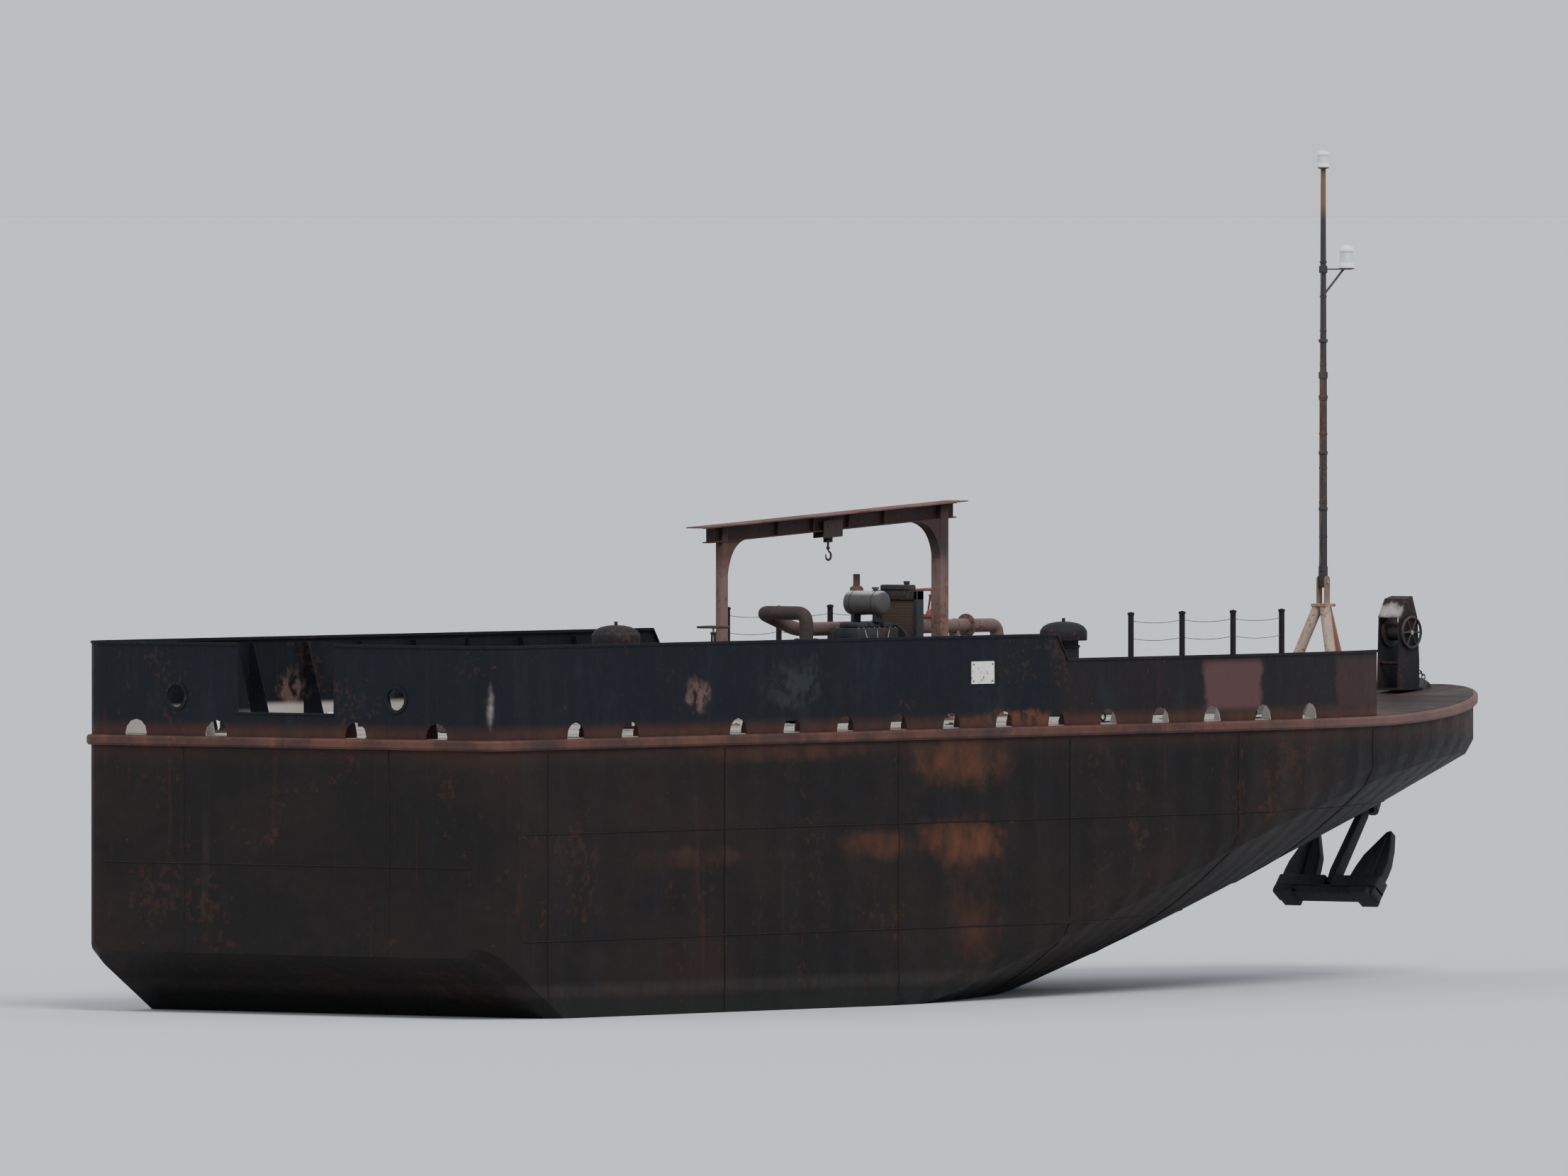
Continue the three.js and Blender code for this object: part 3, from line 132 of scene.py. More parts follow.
class Coat(Nodes):
    """A finish built up in layers on Object coordinates, which are metres in the barge's frame."""

    def __init__(self, name, colour, rough=0.7, metal=0.0, gloss=0.5):
        self.material = bpy.data.materials.new(name)
        self.material.use_nodes = True
        super().__init__(self.material.node_tree, "ShaderNode")
        self.shader = self.tree.nodes["Principled BSDF"]
        self.shader.inputs["Metallic"].default_value = metal
        self.shader.inputs["Specular IOR Level"].default_value = gloss
        self.place = self.add("TexCoord").outputs["Object"]
        self.split = self.add("SeparateXYZ", (self.place,))
        self.colour = (*colour, 1)
        self.rough = rough
        self.height = None

    def sums(self, operation, *values, clamp=False):
        return self.out("Math", values, operation=operation, use_clamp=clamp)

    def times(self, first, second):
        return self.sums("MULTIPLY", first, second)

    def grain(self, scale, stretch=(1, 1, 1), detail=4.0, shift=0.0):
        moved = (shift, shift * 0.7, -shift)
        place = self.out("Mapping", {"Vector": self.place, "Scale": stretch, "Location": moved})
        return self.out("TexNoise", {"Scale": scale, "Detail": detail, "Roughness": 0.62, "Vector": place})

    def bands(self, letter, scale, distortion=0.0, detail=0.0):
        given = {"Vector": self.place, "Scale": scale, "Distortion": distortion, "Detail": detail}
        wave = self.add("TexWave", given, wave_type="BANDS", bands_direction=letter, wave_profile="SIN")
        return wave.outputs[1]

    def step(self, value, low, high):
        given = {"Value": value, "From Min": low, "From Max": high}
        return self.add("MapRange", given, interpolation_type="SMOOTHSTEP").outputs["Result"]

    def spots(self, low, high, *grain):
        return self.step(self.grain(*grain), low, high)

    def along(self, letter):
        return self.split.outputs["XYZ".index(letter)]

    def ramp(self, letter, low, high):
        return self.step(self.along(letter), low, high)

    def band(self, letter, low, high, soft):
        rise = self.ramp(letter, low - soft, low + soft)
        return self.times(rise, self.ramp(letter, high + soft, high - soft))

    def wander(self, letter, width, *grain):
        """A coordinate that strays by up to half of width each way."""
        strayed = self.sums("MULTIPLY_ADD", self.grain(*grain), width, -width / 2)
        return self.sums("ADD", self.along(letter), strayed)

    def patch(self, centre, reach, ragged=0.5, scale=2.2):
        """A ragged spot: 1 at its centre, 0 outside its reach on each axis."""
        given = {"Vector": self.place, "Location": centre, "Scale": reach}
        spot = self.out("Mapping", given, vector_type="TEXTURE")
        length = self.add("VectorMath", (spot,), operation="LENGTH").outputs["Value"]
        rough_edge = self.sums("MULTIPLY_ADD", self.grain(scale), ragged * 2, -ragged)
        return self.step(self.sums("ADD", length, rough_edge), 1.0, 0.35)

    def facing(self, letter, low, high):
        normal = self.add("NewGeometry").outputs["Normal"]
        return self.step(self.add("SeparateXYZ", (normal,)).outputs["XYZ".index(letter)], low, high)

    def inward(self):
        """1 on a standing face that looks in over the deck, 0 on one that looks out."""
        normal = self.add("NewGeometry").outputs["Normal"]
        level = self.out("VectorMath", (self.place, (1, 1, 0)), operation="MULTIPLY")
        across = self.add("VectorMath", (level, normal), operation="DOT_PRODUCT")
        return self.step(across.outputs["Value"], -0.4, -1.2)

    def layer(self, colour, mask, strength=1.0):
        share = self.sums("MULTIPLY", mask, strength, clamp=True)
        mix = self.add("Mix", {0: share, 6: self.colour, 7: (*colour, 1)}, data_type="RGBA")
        self.colour = mix.outputs[2]
        return self

    def rise(self, value, depth):
        scaled = self.times(value, depth)
        self.height = scaled if self.height is None else self.sums("ADD", self.height, scaled)
        return self

    def weather(self, rust, fine, streak, grime, flakes=0.55):
        """Fine grain, rust that breaks through in flakes, and dirt washed down the plate."""
        broad = self.grain(0.9, detail=6)
        pits = self.grain(fine, detail=8, shift=3)
        runs = self.grain(5.0, (1, 1, 0.09), 6, 7)
        pitted = self.step(self.times(broad, pits), 0.33 - 0.12 * rust, 0.4 - 0.08 * rust)
        self.layer(RUST_DARK, pitted, min(1, 1.8 * flakes))
        self.layer(RUST_ORANGE, self.step(pits, 0.7 - 0.12 * rust, 0.78 - 0.1 * rust), flakes)
        self.layer((0.012, 0.011, 0.012), self.step(runs, 0.5, 0.72), grime)
        self.layer(RUST_ORANGE, self.step(runs, 0.4, 0.3), streak * 0.4)
        self.rise(pits, 0.004)
        self.rise(broad, 0.006)
        self.rough = self.sums("MULTIPLY_ADD", pits, 0.35, 0.5)
        return self

    def done(self):
        self.join(self.colour, self.shader.inputs["Base Color"])
        self.join(self.rough, self.shader.inputs["Roughness"])
        if self.height is not None:
            bump = self.out("Bump", {"Strength": 1.0, "Distance": 1.0, "Height": self.height})
            self.join(bump, self.shader.inputs["Normal"])
        return self.material


def wear(material, *names):
    for name in names:
        shown = nodes[name].data
        shown.materials.clear()
        shown.materials.append(material)


def station(x):
    """The place on the length that is x metres forward of the transom."""
    return x - 10.1488


DECK = 3.55
ON_DECK = DECK + 0.0003
HALF_BREADTH = 2.8
EVEN = (1, 1, 1)

coat = Coat("hull_bottom_paint", (0.0095, 0.0078, 0.008), 0.85, gloss=0.14)
brown_fade = coat.grain(0.35, (1, 1, 1.6), 5, 1)
coat.layer((0.019, 0.0115, 0.0095), coat.step(brown_fade, 0.42, 0.62), 0.8)
coat.weather(0.22, 11, 0.1, 0.6, 0.13)
coat.layer((0.03, 0.026, 0.025), coat.spots(0.6, 0.78, 3.2, (1, 1, 0.05), 5, 21), 0.45)
for x, z, reach_x, reach_z, strength in (
    (8.05, 3.22, 1.05, 0.4, 0.74),
    (8.0, 2.34, 0.95, 0.3, 0.72),
    (8.3, 1.75, 0.6, 1.1, 0.34),
    (6.7, 2.34, 1.1, 0.2, 0.46),
    (3.4, 2.25, 1.1, 0.17, 0.3),
    (5.0, 3.38, 1.9, 0.18, 0.36),
):
    for side in (-HALF_BREADTH, HALF_BREADTH):
        spot = coat.patch((station(x), side, z), (reach_x, 0.6, reach_z), 0.6, 3.0)
        mottle = coat.spots(0.24, 0.76, 2.4, (1, 1, 0.55), 8, x)
        coat.layer((0.118, 0.043, 0.02), coat.times(spot, mottle), strength)
coat.layer((0.062, 0.026, 0.018), coat.times(coat.ramp("Z", 3.18, 3.5), brown_fade), 0.75)
coat.layer((0.01, 0.011, 0.01), coat.ramp("Z", 0.86, 0.68), 0.85)
scum = coat.times(coat.band("Z", 0.82, 0.95, 0.05), coat.grain(7, (1, 1, 0.3), 4, 5))
coat.layer((0.045, 0.042, 0.034), scum, 0.5)
deck = coat.facing("Z", 0.75, 0.9)
coat.layer((0.36, 0.34, 0.31), deck)
foredeck = coat.step(coat.wander("X", 0.5, 3.0, EVEN, 7, 37), station(15.42), station(15.5))
coat.layer((0.022, 0.0125, 0.0125), coat.times(deck, foredeck), 0.97)
aft_deck = coat.sums("SUBTRACT", deck, coat.times(foredeck, 0.75), clamp=True)
for colour, low, high, scale, shift, strength in (
    ((0.17, 0.12, 0.09), 0.48, 0.66, 1.4, 9, 0.8),
    ((0.2, 0.08, 0.04), 0.6, 0.7, 4.5, 13, 0.7),
):
    coat.layer(colour, coat.times(aft_deck, coat.spots(low, high, scale, EVEN, 7, shift)), strength)
coat.rise(coat.bands("X", 0.314 / 0.55, 0.6, 1.0), 0.013)
coat.rise(coat.grain(1.1, (1, 1, 1.4), 2, 17), 0.05)
wear(coat.done(), "hull")


# Weld seams of the hull: the side plates are butt welded every 3 m and lapped along two strakes,
# so a low bead stands on the plate. Each bead is drawn as a line on the plate, then swept round.
class Growth(Nodes):
    """A geometry tree with named inputs; what it grows is made real and gets its coat."""

    def __init__(self, name, source, *numbers):
        super().__init__(bpy.data.node_groups.new(name, "GeometryNodeTree"), "GeometryNode")
        kinds = {source: "Geometry", **dict.fromkeys(numbers, "Float"), "Coat": "Material"}
        for label, kind in kinds.items():
            self.tree.interface.new_socket(label, in_out="INPUT", socket_type="NodeSocket" + kind)
        self.tree.interface.new_socket("Grown", in_out="OUTPUT", socket_type="NodeSocketGeometry")
        self.given = self.add("NodeGroupInput").outputs

    def done(self, geometry):
        real = self.out("RealizeInstances", (geometry,))
        paint = self.out("SetMaterial", {"Geometry": real, "Material": self.given["Coat"]})
        self.add("NodeGroupOutput", (paint,))
        return self.tree


def grown(name, data, tree, values, body):
    """Runs a geometry tree on a mesh and keeps the result as a plain mesh on a body."""
    piece = bpy.data.objects.new(name, data)
    bpy.context.collection.objects.link(piece)
    modifier = piece.modifiers.new("grow", "NODES")
    modifier.node_group = tree
    for socket in tree.interface.items_tree:
        if socket.in_out == "INPUT" and socket.name in values:
            modifier[socket.identifier] = values[socket.name]
    bpy.context.view_layer.update()
    graph = bpy.context.evaluated_depsgraph_get()
    result = bpy.data.meshes.new_from_object(piece.evaluated_get(graph))
    piece.modifiers.clear()
    piece.data = result
    result.name = name
    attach(piece, body)
    return piece


def lines_mesh(name, lines):
    data = bpy.data.meshes.new(name)
    points, edges = [], []
    for line in lines:
        edges += [(len(points) + k, len(points) + k + 1) for k in range(len(line) - 1)]
        points += [tuple(point) for point in line]
    data.from_pydata(points, edges, [])
    return data


tree = Growth("weld_bead", "Lines", "Bead Radius")
curve = tree.out("MeshToCurve", (tree.given["Lines"],))
profile = tree.out("CurvePrimitiveCircle", {"Resolution": 6, "Radius": tree.given["Bead Radius"]})
weld_bead = tree.done(tree.out("CurveToMesh", {"Curve": curve, "Profile Curve": profile, "Fill Caps": True}))


def beads(name, lines, radius, paint):
    values = {"Bead Radius": radius, "Coat": paint}
    grown(name, lines_mesh(name, lines), weld_bead, values, "barge")


hull_shell = nodes["hull"].data
hull_skin = BVHTree.FromPolygons(
    [vertex.co.copy() for vertex in hull_shell.vertices],
    [tuple(face.vertices) for face in hull_shell.polygons],
)


def on_side(places, side, proud=0.002):
    """The points of the side plate at each (x, z); a place beyond the plate is left out."""
    hits = [hull_skin.ray_cast(Vector((x, side * 4, z)), Vector((0, -side, 0))) for x, z in places]
    return [hit[0] + hit[1] * proud for hit in hits if hit[0] is not None]


TRANSOM = station(0)
ON_TRANSOM = TRANSOM - 0.0007
seams = []
for side in (-1, 1):
    for butt in (-9.2, -6.2, -3.2, -0.2, 2.8, 5.6):
        seams.append(on_side([(butt, 0.2 + 0.1 * k) for k in range(33)], side))
    for strake in (1.42, 2.55):
        seams.append(on_side([(-9.6 + 0.2 * k, strake) for k in range(99)], side))
seams += [[Vector((ON_TRANSOM, y, 1.3 + 0.24 * k)) for k in range(10)] for y in (-1.4, 1.4)]
seams.append([Vector((ON_TRANSOM, -2.5 + 0.25 * k, 2.2)) for k in range(21)])
coat = Coat("weld_bead_paint", (0.015, 0.011, 0.011), 0.85, gloss=0.15)
bead_paint = coat.weather(0.3, 30, 0.1, 0.5, 0.2).done()
beads("hull_weld_seams", seams, 0.008, bead_paint)

seam_z = DECK + 0.001
deck_seams = [[(x, -2.66, seam_z), (x, 2.66, seam_z)] for x in (-8.4, -5.4, -2.4, 0.6, 3.6)]
deck_seams += [[(TRANSOM + 0.15, y, seam_z), (3.0, y, seam_z)] for y in (-1.6, 0.02, 1.6)]
coat = Coat("deck_bead_paint", (0.3, 0.27, 0.24), 0.8).weather(0.7, 30, 0.1, 0.3)
beads("deck_weld_seams", deck_seams, 0.007, coat.done())


# Gunwale: a half-round steel rubbing bar welded round the deck edge. Quays have scraped most of
# its red-brown paint down to bright rust, most of all along the bow.
coat = Coat("gunwale_rust", (0.045, 0.022, 0.018), 0.75, gloss=0.25).weather(0.5, 16, 0.3, 0.35)
coat.layer((0.12, 0.046, 0.032), coat.spots(0.4, 0.62, 1.6, EVEN, 6, 4), 0.55)
coat.layer((0.15, 0.086, 0.078), coat.times(coat.ramp("X", 1.5, 7.5), coat.grain(2.6, EVEN, 6, 8)))
wear(coat.done(), "gunwale_port", "gunwale_starboard")


# Bulwarks: plate walls round the deck with freeing ports at their foot. Aft they are a faded
# blue-black; forward they are lower, dark brown, with red-lead patches where the rust was chipped.
coat = Coat("bulwark_paint", (0.0042, 0.0058, 0.0092), 0.8, gloss=0.17)
coat.layer((0.01, 0.0075, 0.0085), coat.ramp("X", station(9.4), station(10.0)))
coat.weather(0.12, 14, 0.08, 0.45, 0.16)
coat.layer((0.013, 0.017, 0.023), coat.spots(0.56, 0.72, 2.4, (1, 1, 0.35), 6, 31), 0.5)
blotches = coat.spots(0.4, 0.56, 9.0, (1, 1, 0.7), 8, 53)
for x, z, reach_x, reach_z, colour, strength in (
    (3.5, 3.97, 0.26, 0.22, (0.15, 0.085, 0.065), 0.62),
    (9.0, 3.64, 0.9, 0.12, (0.155, 0.052, 0.02), 0.5),
    (5.2, 4.05, 0.62, 0.34, (0.034, 0.038, 0.037), 0.45),
):
    for side in (-HALF_BREADTH, HALF_BREADTH):
        spot = coat.patch((station(x), side, z), (reach_x, 0.7, reach_z), 0.9, 4.5)
        coat.layer(colour, coat.times(spot, blotches), strength)
for low, high, colour in (
    (12.35, 13.35, (0.09, 0.042, 0.042)),
    (14.9, 15.85, (0.038, 0.017, 0.018)),
):
    ragged_x = coat.wander("X", 0.35, 3.4, EVEN, 7, 41)
    rise = coat.step(ragged_x, station(low) - 0.06, station(low) + 0.06)
    fall = coat.step(ragged_x, station(high) + 0.06, station(high) - 0.06)
    coat.layer(colour, coat.times(coat.times(rise, fall), coat.band("Z", 3.68, 4.2, 0.05)), 0.8)
coat.layer(RUST_DARK, coat.times(coat.ramp("Z", 3.74, 3.58), coat.grain(3.5, (1, 1, 0.6), 6, 12)), 0.9)
coat.layer((0.4, 0.32, 0.3), coat.patch((TRANSOM + 0.02, -2.77, 3.92), (0.1, 0.1, 0.4), 0.25, 6), 0.85)
# A pale band inside the foot of the walls: the deck's grey carried up the plate, made paler as a painted
# reflection of the sky off the wet deck, which shows through the freeing ports.
coat.layer((0.42, 0.38, 0.35), coat.times(coat.inward(), coat.ramp("Z", 3.86, 3.78)), 0.9)
coat.rise(coat.grain(1.6, (1, 1, 0.8), 2, 3), 0.03)
wear(coat.done(), "bulwark_aft_port", "bulwark_aft_starboard", "bulwark_forward_port",
     "bulwark_forward_starboard", "bulwark_stern")


# Marker plates: blank squares of thin sheet steel, painted white, with a little rust coming
# through. Four bolts hold each one to the outside of the bulwark.
ALONG = (1, 0, 0)
ACROSS = (0, 1, 0)
SIDES = (("port", 1), ("starboard", -1))


def circle(centre, radius, count, axis=(0, 0, 1), start=0.0):
    turn = Vector(axis).to_track_quat("Z", "Y")
    angles = [start + 2 * math.pi * k / count for k in range(count)]
    return [Vector(centre) + turn @ Vector((radius * math.cos(a), radius * math.sin(a), 0)) for a in angles]


class Work:
    """A piece under way: each shape goes into one mesh, in the coat that was named last."""

    def __init__(self, name, coat, origin=(0, 0, 0), lean=Matrix()):
        self.name = name
        self.place = Matrix.Translation(origin) @ lean
        self.mesh = bmesh.new()
        self.coats = []
        self.use(coat)

    def use(self, coat):
        if coat not in self.coats:
            self.coats.append(coat)
        self.index = self.coats.index(coat)

    def keep(self, shape, edge=0, steps=1):
        if edge:
            edges = {"geom": shape.edges[:], "affect": "EDGES", "profile": 0.5}
            bmesh.ops.bevel(shape, offset=edge, segments=steps, **edges)
        bmesh.ops.recalc_face_normals(shape, faces=shape.faces)
        for face in shape.faces:
            face.material_index = self.index
            face.smooth = True
        carried = bpy.data.meshes.new("carried")
        shape.to_mesh(carried)
        shape.free()
        self.mesh.from_mesh(carried)
        bpy.data.meshes.remove(carried)

    def block(self, corner, opposite, edge=0.004, steps=2):
        shape = bmesh.new()
        bmesh.ops.create_cube(shape, size=1)
        low, high = [Vector([pick(pair) for pair in zip(corner, opposite)]) for pick in (min, max)]
        for vertex in shape.verts:
            vertex.co = low + (vertex.co + Vector((0.5, 0.5, 0.5))) * (high - low)
        self.keep(shape, edge, steps)

    def turned(self, foot, rows, axis=(0, 0, 1), steps=40):
        """Turns (radius, height) rows about an axis through foot; an open end is closed flat."""
        shape = bmesh.new()
        first, last = rows[0], rows[-1]
        rows = [(0, first[1])] * (first[0] > 0) + list(rows) + [(0, last[1])] * (last[0] > 0)
        way = Vector(axis).normalized()
        rings = []
        for radius, height in rows:
            spots = circle(Vector(foot) + way * height, radius, steps if radius else 1, axis)
            rings.append([shape.verts.new(spot) for spot in spots])
        for first, second in zip(rings, rings[1:]):
            for k in range(steps):
                ring = [first[k % len(first)], first[(k + 1) % len(first)],
                        second[(k + 1) % len(second)], second[k % len(second)]]
                face = list(dict.fromkeys(ring))
                if len(face) > 2:
                    shape.faces.new(face)
        self.keep(shape)

    def rod(self, start, end, radius, end_radius=None, edge=0.003, steps=28):
        start, end = Vector(start), Vector(end)
        far = radius if end_radius is None else end_radius
        length = (end - start).length
        cut = min(edge, radius * 0.4, far * 0.4, length * 0.3)
        rows = [(radius - cut, 0), (radius, cut), (far, length - cut), (far - cut, length)]
        self.turned(start, rows, end - start, steps)

    def ring(self, centre, radius, bar, axis=(0, 0, 1), steps=48, sides=12):
        self.tube(circle(centre, radius, steps, axis), bar, sides, closed=True)

    def tube(self, path, radius, sides=20, closed=False, taper=None):
        shape = bmesh.new()
        path = [Vector(point) for point in path]
        count = len(path)
        rings = []
        across = None
        for k, point in enumerate(path):
            before = path[k - 1] if k or closed else point
            after = path[(k + 1) % count] if k < count - 1 or closed else point
            way = (after - before).normalized()
            if across is None:
                across = way.orthogonal().normalized()
            across = (across - way * across.dot(way)).normalized()
            over = way.cross(across)
            size = radius if taper is None else radius * taper(k / (count - 1))
            turns = [2 * math.pi * s / sides for s in range(sides)]
            rings.append([
                shape.verts.new(point + size * (across * math.cos(turn) + over * math.sin(turn)))
                for turn in turns
            ])
        for first, second in zip(rings, rings[1:] + rings[:closed]):
            for s in range(sides):
                shape.faces.new([first[s], first[(s + 1) % sides], second[(s + 1) % sides], second[s]])
        if not closed:
            shape.faces.new(rings[0])
            shape.faces.new(rings[-1])
        self.keep(shape)

    def plate(self, outline, span, along="y", edge=0.003, steps=1):
        """An outline cut from plate: its points are (x, z), (y, z) or (x, y), and span is its thickness."""
        shape = bmesh.new()
        low, high = sorted(span)
        axis = "xyz".index(along)
        face = shape.faces.new([shape.verts.new((*point[:axis], low, *point[axis:])) for point in outline])
        grown_out = bmesh.ops.extrude_face_region(shape, geom=[face])
        moved = [item for item in grown_out["geom"] if isinstance(item, bmesh.types.BMVert)]
        bmesh.ops.translate(shape, verts=moved, vec=[(high - low) * (k == axis) for k in range(3)])
        self.keep(shape, edge, steps)

    def done(self, body, slot, *replaced):
        data = bpy.data.meshes.new(self.name)
        self.mesh.transform(self.place)
        self.mesh.to_mesh(data)
        self.mesh.free()
        for coat in self.coats:
            data.materials.append(coat)
        data.set_sharp_from_angle(angle=math.radians(38))
        piece = bpy.data.objects.new(self.name, data)
        bpy.context.collection.objects.link(piece)
        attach(piece, body)
        if replaced:
            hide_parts(*replaced)
        return piece


tree = Growth("bolt_heads", "Places", "Head Radius", "Head Height")
width, height = tree.given["Head Radius"], tree.given["Head Height"]
points = tree.out("MeshToPoints", {"Mesh": tree.given["Places"]})
hexagon = tree.add("MeshCylinder", {"Vertices": 6, "Radius": width, "Depth": height})
half = tree.out("ShaderNodeMath", (width, 0.5), operation="MULTIPLY")
shank = tree.add("MeshCylinder", {"Vertices": 8, "Radius": half, "Depth": width})
both = tree.add("JoinGeometry", (hexagon.outputs["Mesh"],))
tree.join(shank.outputs["Mesh"], both.inputs[0])
facing = tree.out("InputNamedAttribute", {"Name": "facing"}, data_type="FLOAT_VECTOR")
align = tree.out("FunctionNodeAlignRotationToVector", {"Vector": facing}, axis="Z")
heads = {"Points": points, "Instance": both.outputs[0], "Rotation": align}
bolt_heads = tree.done(tree.out("InstanceOnPoints", heads))
bolt_rust = Coat("bolt_rust", (0.06, 0.034, 0.024), 0.6, 0.4).weather(1.0, 90, 0.2, 0.3).done()


def bolts(name, places, radius, coat=bolt_rust, body="barge"):
    """Bolt heads, two thirds as high as their radius, at points where they face up or (point, way) pairs."""
    pairs = [place if len(place) == 2 else (place, (0, 0, 1)) for place in places]
    data = bpy.data.meshes.new(name)
    data.from_pydata([tuple(place) for place, _ in pairs], [], [])
    facing = data.attributes.new("facing", "FLOAT_VECTOR", "POINT")
    facing.data.foreach_set("vector", [number for _, way in pairs for number in way])
    values = {"Head Radius": radius, "Head Height": radius * 0.66, "Coat": coat}
    return grown(name, data, bolt_heads, values, body)


coat = Coat("marker_white", (0.66, 0.65, 0.6), 0.55).weather(0.18, 22, 0.25, 0.12)
wear(coat.done(), "marker_plate_port", "marker_plate_starboard")
for side, sign in SIDES:
    corners = [((station(x), sign * 2.809, z), (0, sign, 0)) for x in (8.24, 8.57) for z in (4.05, 4.23)]
    bolts("marker_bolts_" + side, corners, 0.011)


# Bitts: pairs of cast mooring posts with flared caps, tarred black, with rust coming through. Each
# pair stands on a base plate that six bolts hold to the deck.
coat = Coat("tarred_casting", (0.02, 0.018, 0.017), 0.6, 0.1).weather(0.5, 34, 0.15, 0.3)
casting = coat.rise(coat.grain(120, detail=3), 0.0015).done()
for place, x, y, radius, height, spacing in (
    ("stern_", station(1.35), 2.08, 0.11, 0.5, 0.52),
    ("bow_", station(16.3), 1.56, 0.084, 0.4, 0.42),
):
    rim = radius + 0.022
    rows = [(radius + 0.018, 0.02), (radius + 0.006, 0.034), (radius, 0.052), (radius * 0.965, height * 0.5),
            (radius, height - 0.05), (rim - 0.005, height - 0.028), (rim, height - 0.018),
            (rim, height + 0.002), (rim - 0.012, height + 0.013), (radius * 0.5, height + 0.02),
            (0, height + 0.022)]
    width = radius + 0.05
    reach = spacing / 2 + width
    ends = (x - spacing / 2, x + spacing / 2)
    for side, sign in SIDES:
        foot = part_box("bitts_" + place + side)[0][2]
        pair = Work("mooring_bitts_" + place + side, casting)
        middle = sign * y
        pair.block((x - reach, middle - width, foot), (x + reach, middle + width, foot + 0.022), 0.006)
        for end in ends:
            pair.turned((end, middle, foot), rows, steps=44)
        pair.rod(*((end, middle, foot + height * 0.55) for end in ends), radius * 0.34)
        pair.done("barge", "cast_black", "bitts_" + place + side)
        holes = [(x + a * (reach - 0.03), middle + b * rim, foot + 0.022)
                 for a in (-1, 0, 1) for b in (-1, 1)]
        bolts("bitts_bolts_" + place + side, holes, 0.014)


# Deck hatches: low coamings of welded steel plate, with a hinged lid in red oxide that has worn
# pale on top. Four dogs with T handles, two on each side, hold the lid down.
coat = Coat("coaming_paint", (0.055, 0.04, 0.035), 0.75).weather(0.6, 22, 0.5, 0.3)
wear(coat.done(), "hatch_coaming_aft", "hatch_coaming_forward")
coat = Coat("lid_red_oxide", (0.16, 0.05, 0.034), 0.75).weather(0.4, 22, 0.2, 0.3)
coat.layer((0.26, 0.22, 0.19), coat.times(coat.facing("Z", 0.8, 0.95), coat.spots(0.45, 0.65, 4)), 0.6)
wear(coat.done(), "hatch_lid_aft", "hatch_lid_forward")
for place, x, half in (("aft", station(3.05), 0.42), ("forward", station(14.8), 0.38)):
    dogs = Work("hatch_dogs_" + place, bolt_rust)
    for side in (-1, 1):
        y = side * (half + 0.046)
        for run in (x - 0.22, x + 0.14):
            dogs.rod((run, side * (half - 0.002), 3.76), (run, y + side * 0.012, 3.76), 0.009)
            dogs.rod((run, y, 3.745), (run, y, 3.885), 0.008)
            dogs.rod((run - 0.035, y, 3.868), (run + 0.035, y, 3.874), 0.007)
    dogs.done("barge", "cast_black")
    foot = half * 1.01
    weld = [(x + a * foot, b * foot, DECK + 0.004) for a, b in ((-1, -1), (1, -1), (1, 1), (-1, 1), (-1, -1))]
    beads("hatch_foot_weld_" + place, [weld], 0.008, bead_paint)


# Deck trim: pad eyes for lashings, each a forged ring welded into a small doubler, and round
# sounding plugs that screw into the deck over the tanks.
trim = Work("deck_pad_eyes_and_plugs", casting)
plug = [(0.07, 0), (0.07, 0.006), (0.06, 0.011), (0.024, 0.011), (0.024, 0.024), (0.02, 0.027)]
for side in (-1, 1):
    for x in (2.35, 5.2, 8.05, 11.3, 14.0):
        eye = Vector((station(x), side * 2.2, DECK))
        trim.block(eye + Vector((-0.085, -0.045, 0.0003)), eye + Vector((0.085, 0.045, 0.014)))
        trim.ring(eye + Vector((0, 0, 0.062)), 0.042, 0.011, ACROSS, 28, 10)
    for x in (4.15, 9.2, 13.0):
        trim.turned((station(x), side * 1.75, ON_DECK), plug, steps=32)
trim.done("barge", "cast_black")


# Mushroom ventilators: a rolled steel trunk on a bolted foot ring, under a spun cap whose rim
# hangs over the wire gauze.
coat = Coat("ventilator_paint", (0.013, 0.0135, 0.017), 0.75, gloss=0.18)
cowl_paint = coat.weather(0.3, 24, 0.15, 0.5, 0.3).done()
coat = Coat("ventilator_gauze", (0.018, 0.017, 0.016), 0.8, 0.3)
wires = coat.grain(160, EVEN, 2)
coat.layer((0.1, 0.075, 0.05), coat.step(wires, 0.5, 0.6), 0.7)
gauze_wire = coat.rise(wires, 0.004).done()
CAP = ((0.235, 0.215), (0.24, 0.248), (0.256, 0.25), (0.26, 0.242), (0.26, 0.15), (0.25, 0.128),
       (0.222, 0.092), (0.165, 0.062), (0.09, 0.045), (0.02, 0.04), (0.018, 0.004), (0, 0.002))
for place, x, height in (("aft", station(5.6), 1.15), ("forward", station(13.45), 1.08)):
    cowl = Work("mushroom_ventilator_" + place, cowl_paint)
    trunk = [(0.232, 0.0003), (0.238, 0.006), (0.238, 0.019), (0.232, 0.024), (0.176, 0.024), (0.17, 0.034),
             (0.17, height - 0.33), (0.182, height - 0.325), (0.182, height - 0.3)]
    cowl.turned((x, 0, DECK), trunk, steps=56)
    cowl.use(gauze_wire)
    cowl.turned((x, 0, DECK), [(0.165, height - 0.302), (0.165, height - 0.2)], steps=56)
    cowl.use(cowl_paint)
    cowl.turned((x, 0, DECK), [(radius, height - drop) for radius, drop in CAP], steps=56)
    cowl.done("barge", "machine_paint", "ventilator_" + place)
    bolts("ventilator_bolts_" + place, circle((x, 0, DECK + 0.024), 0.205, 8), 0.012)


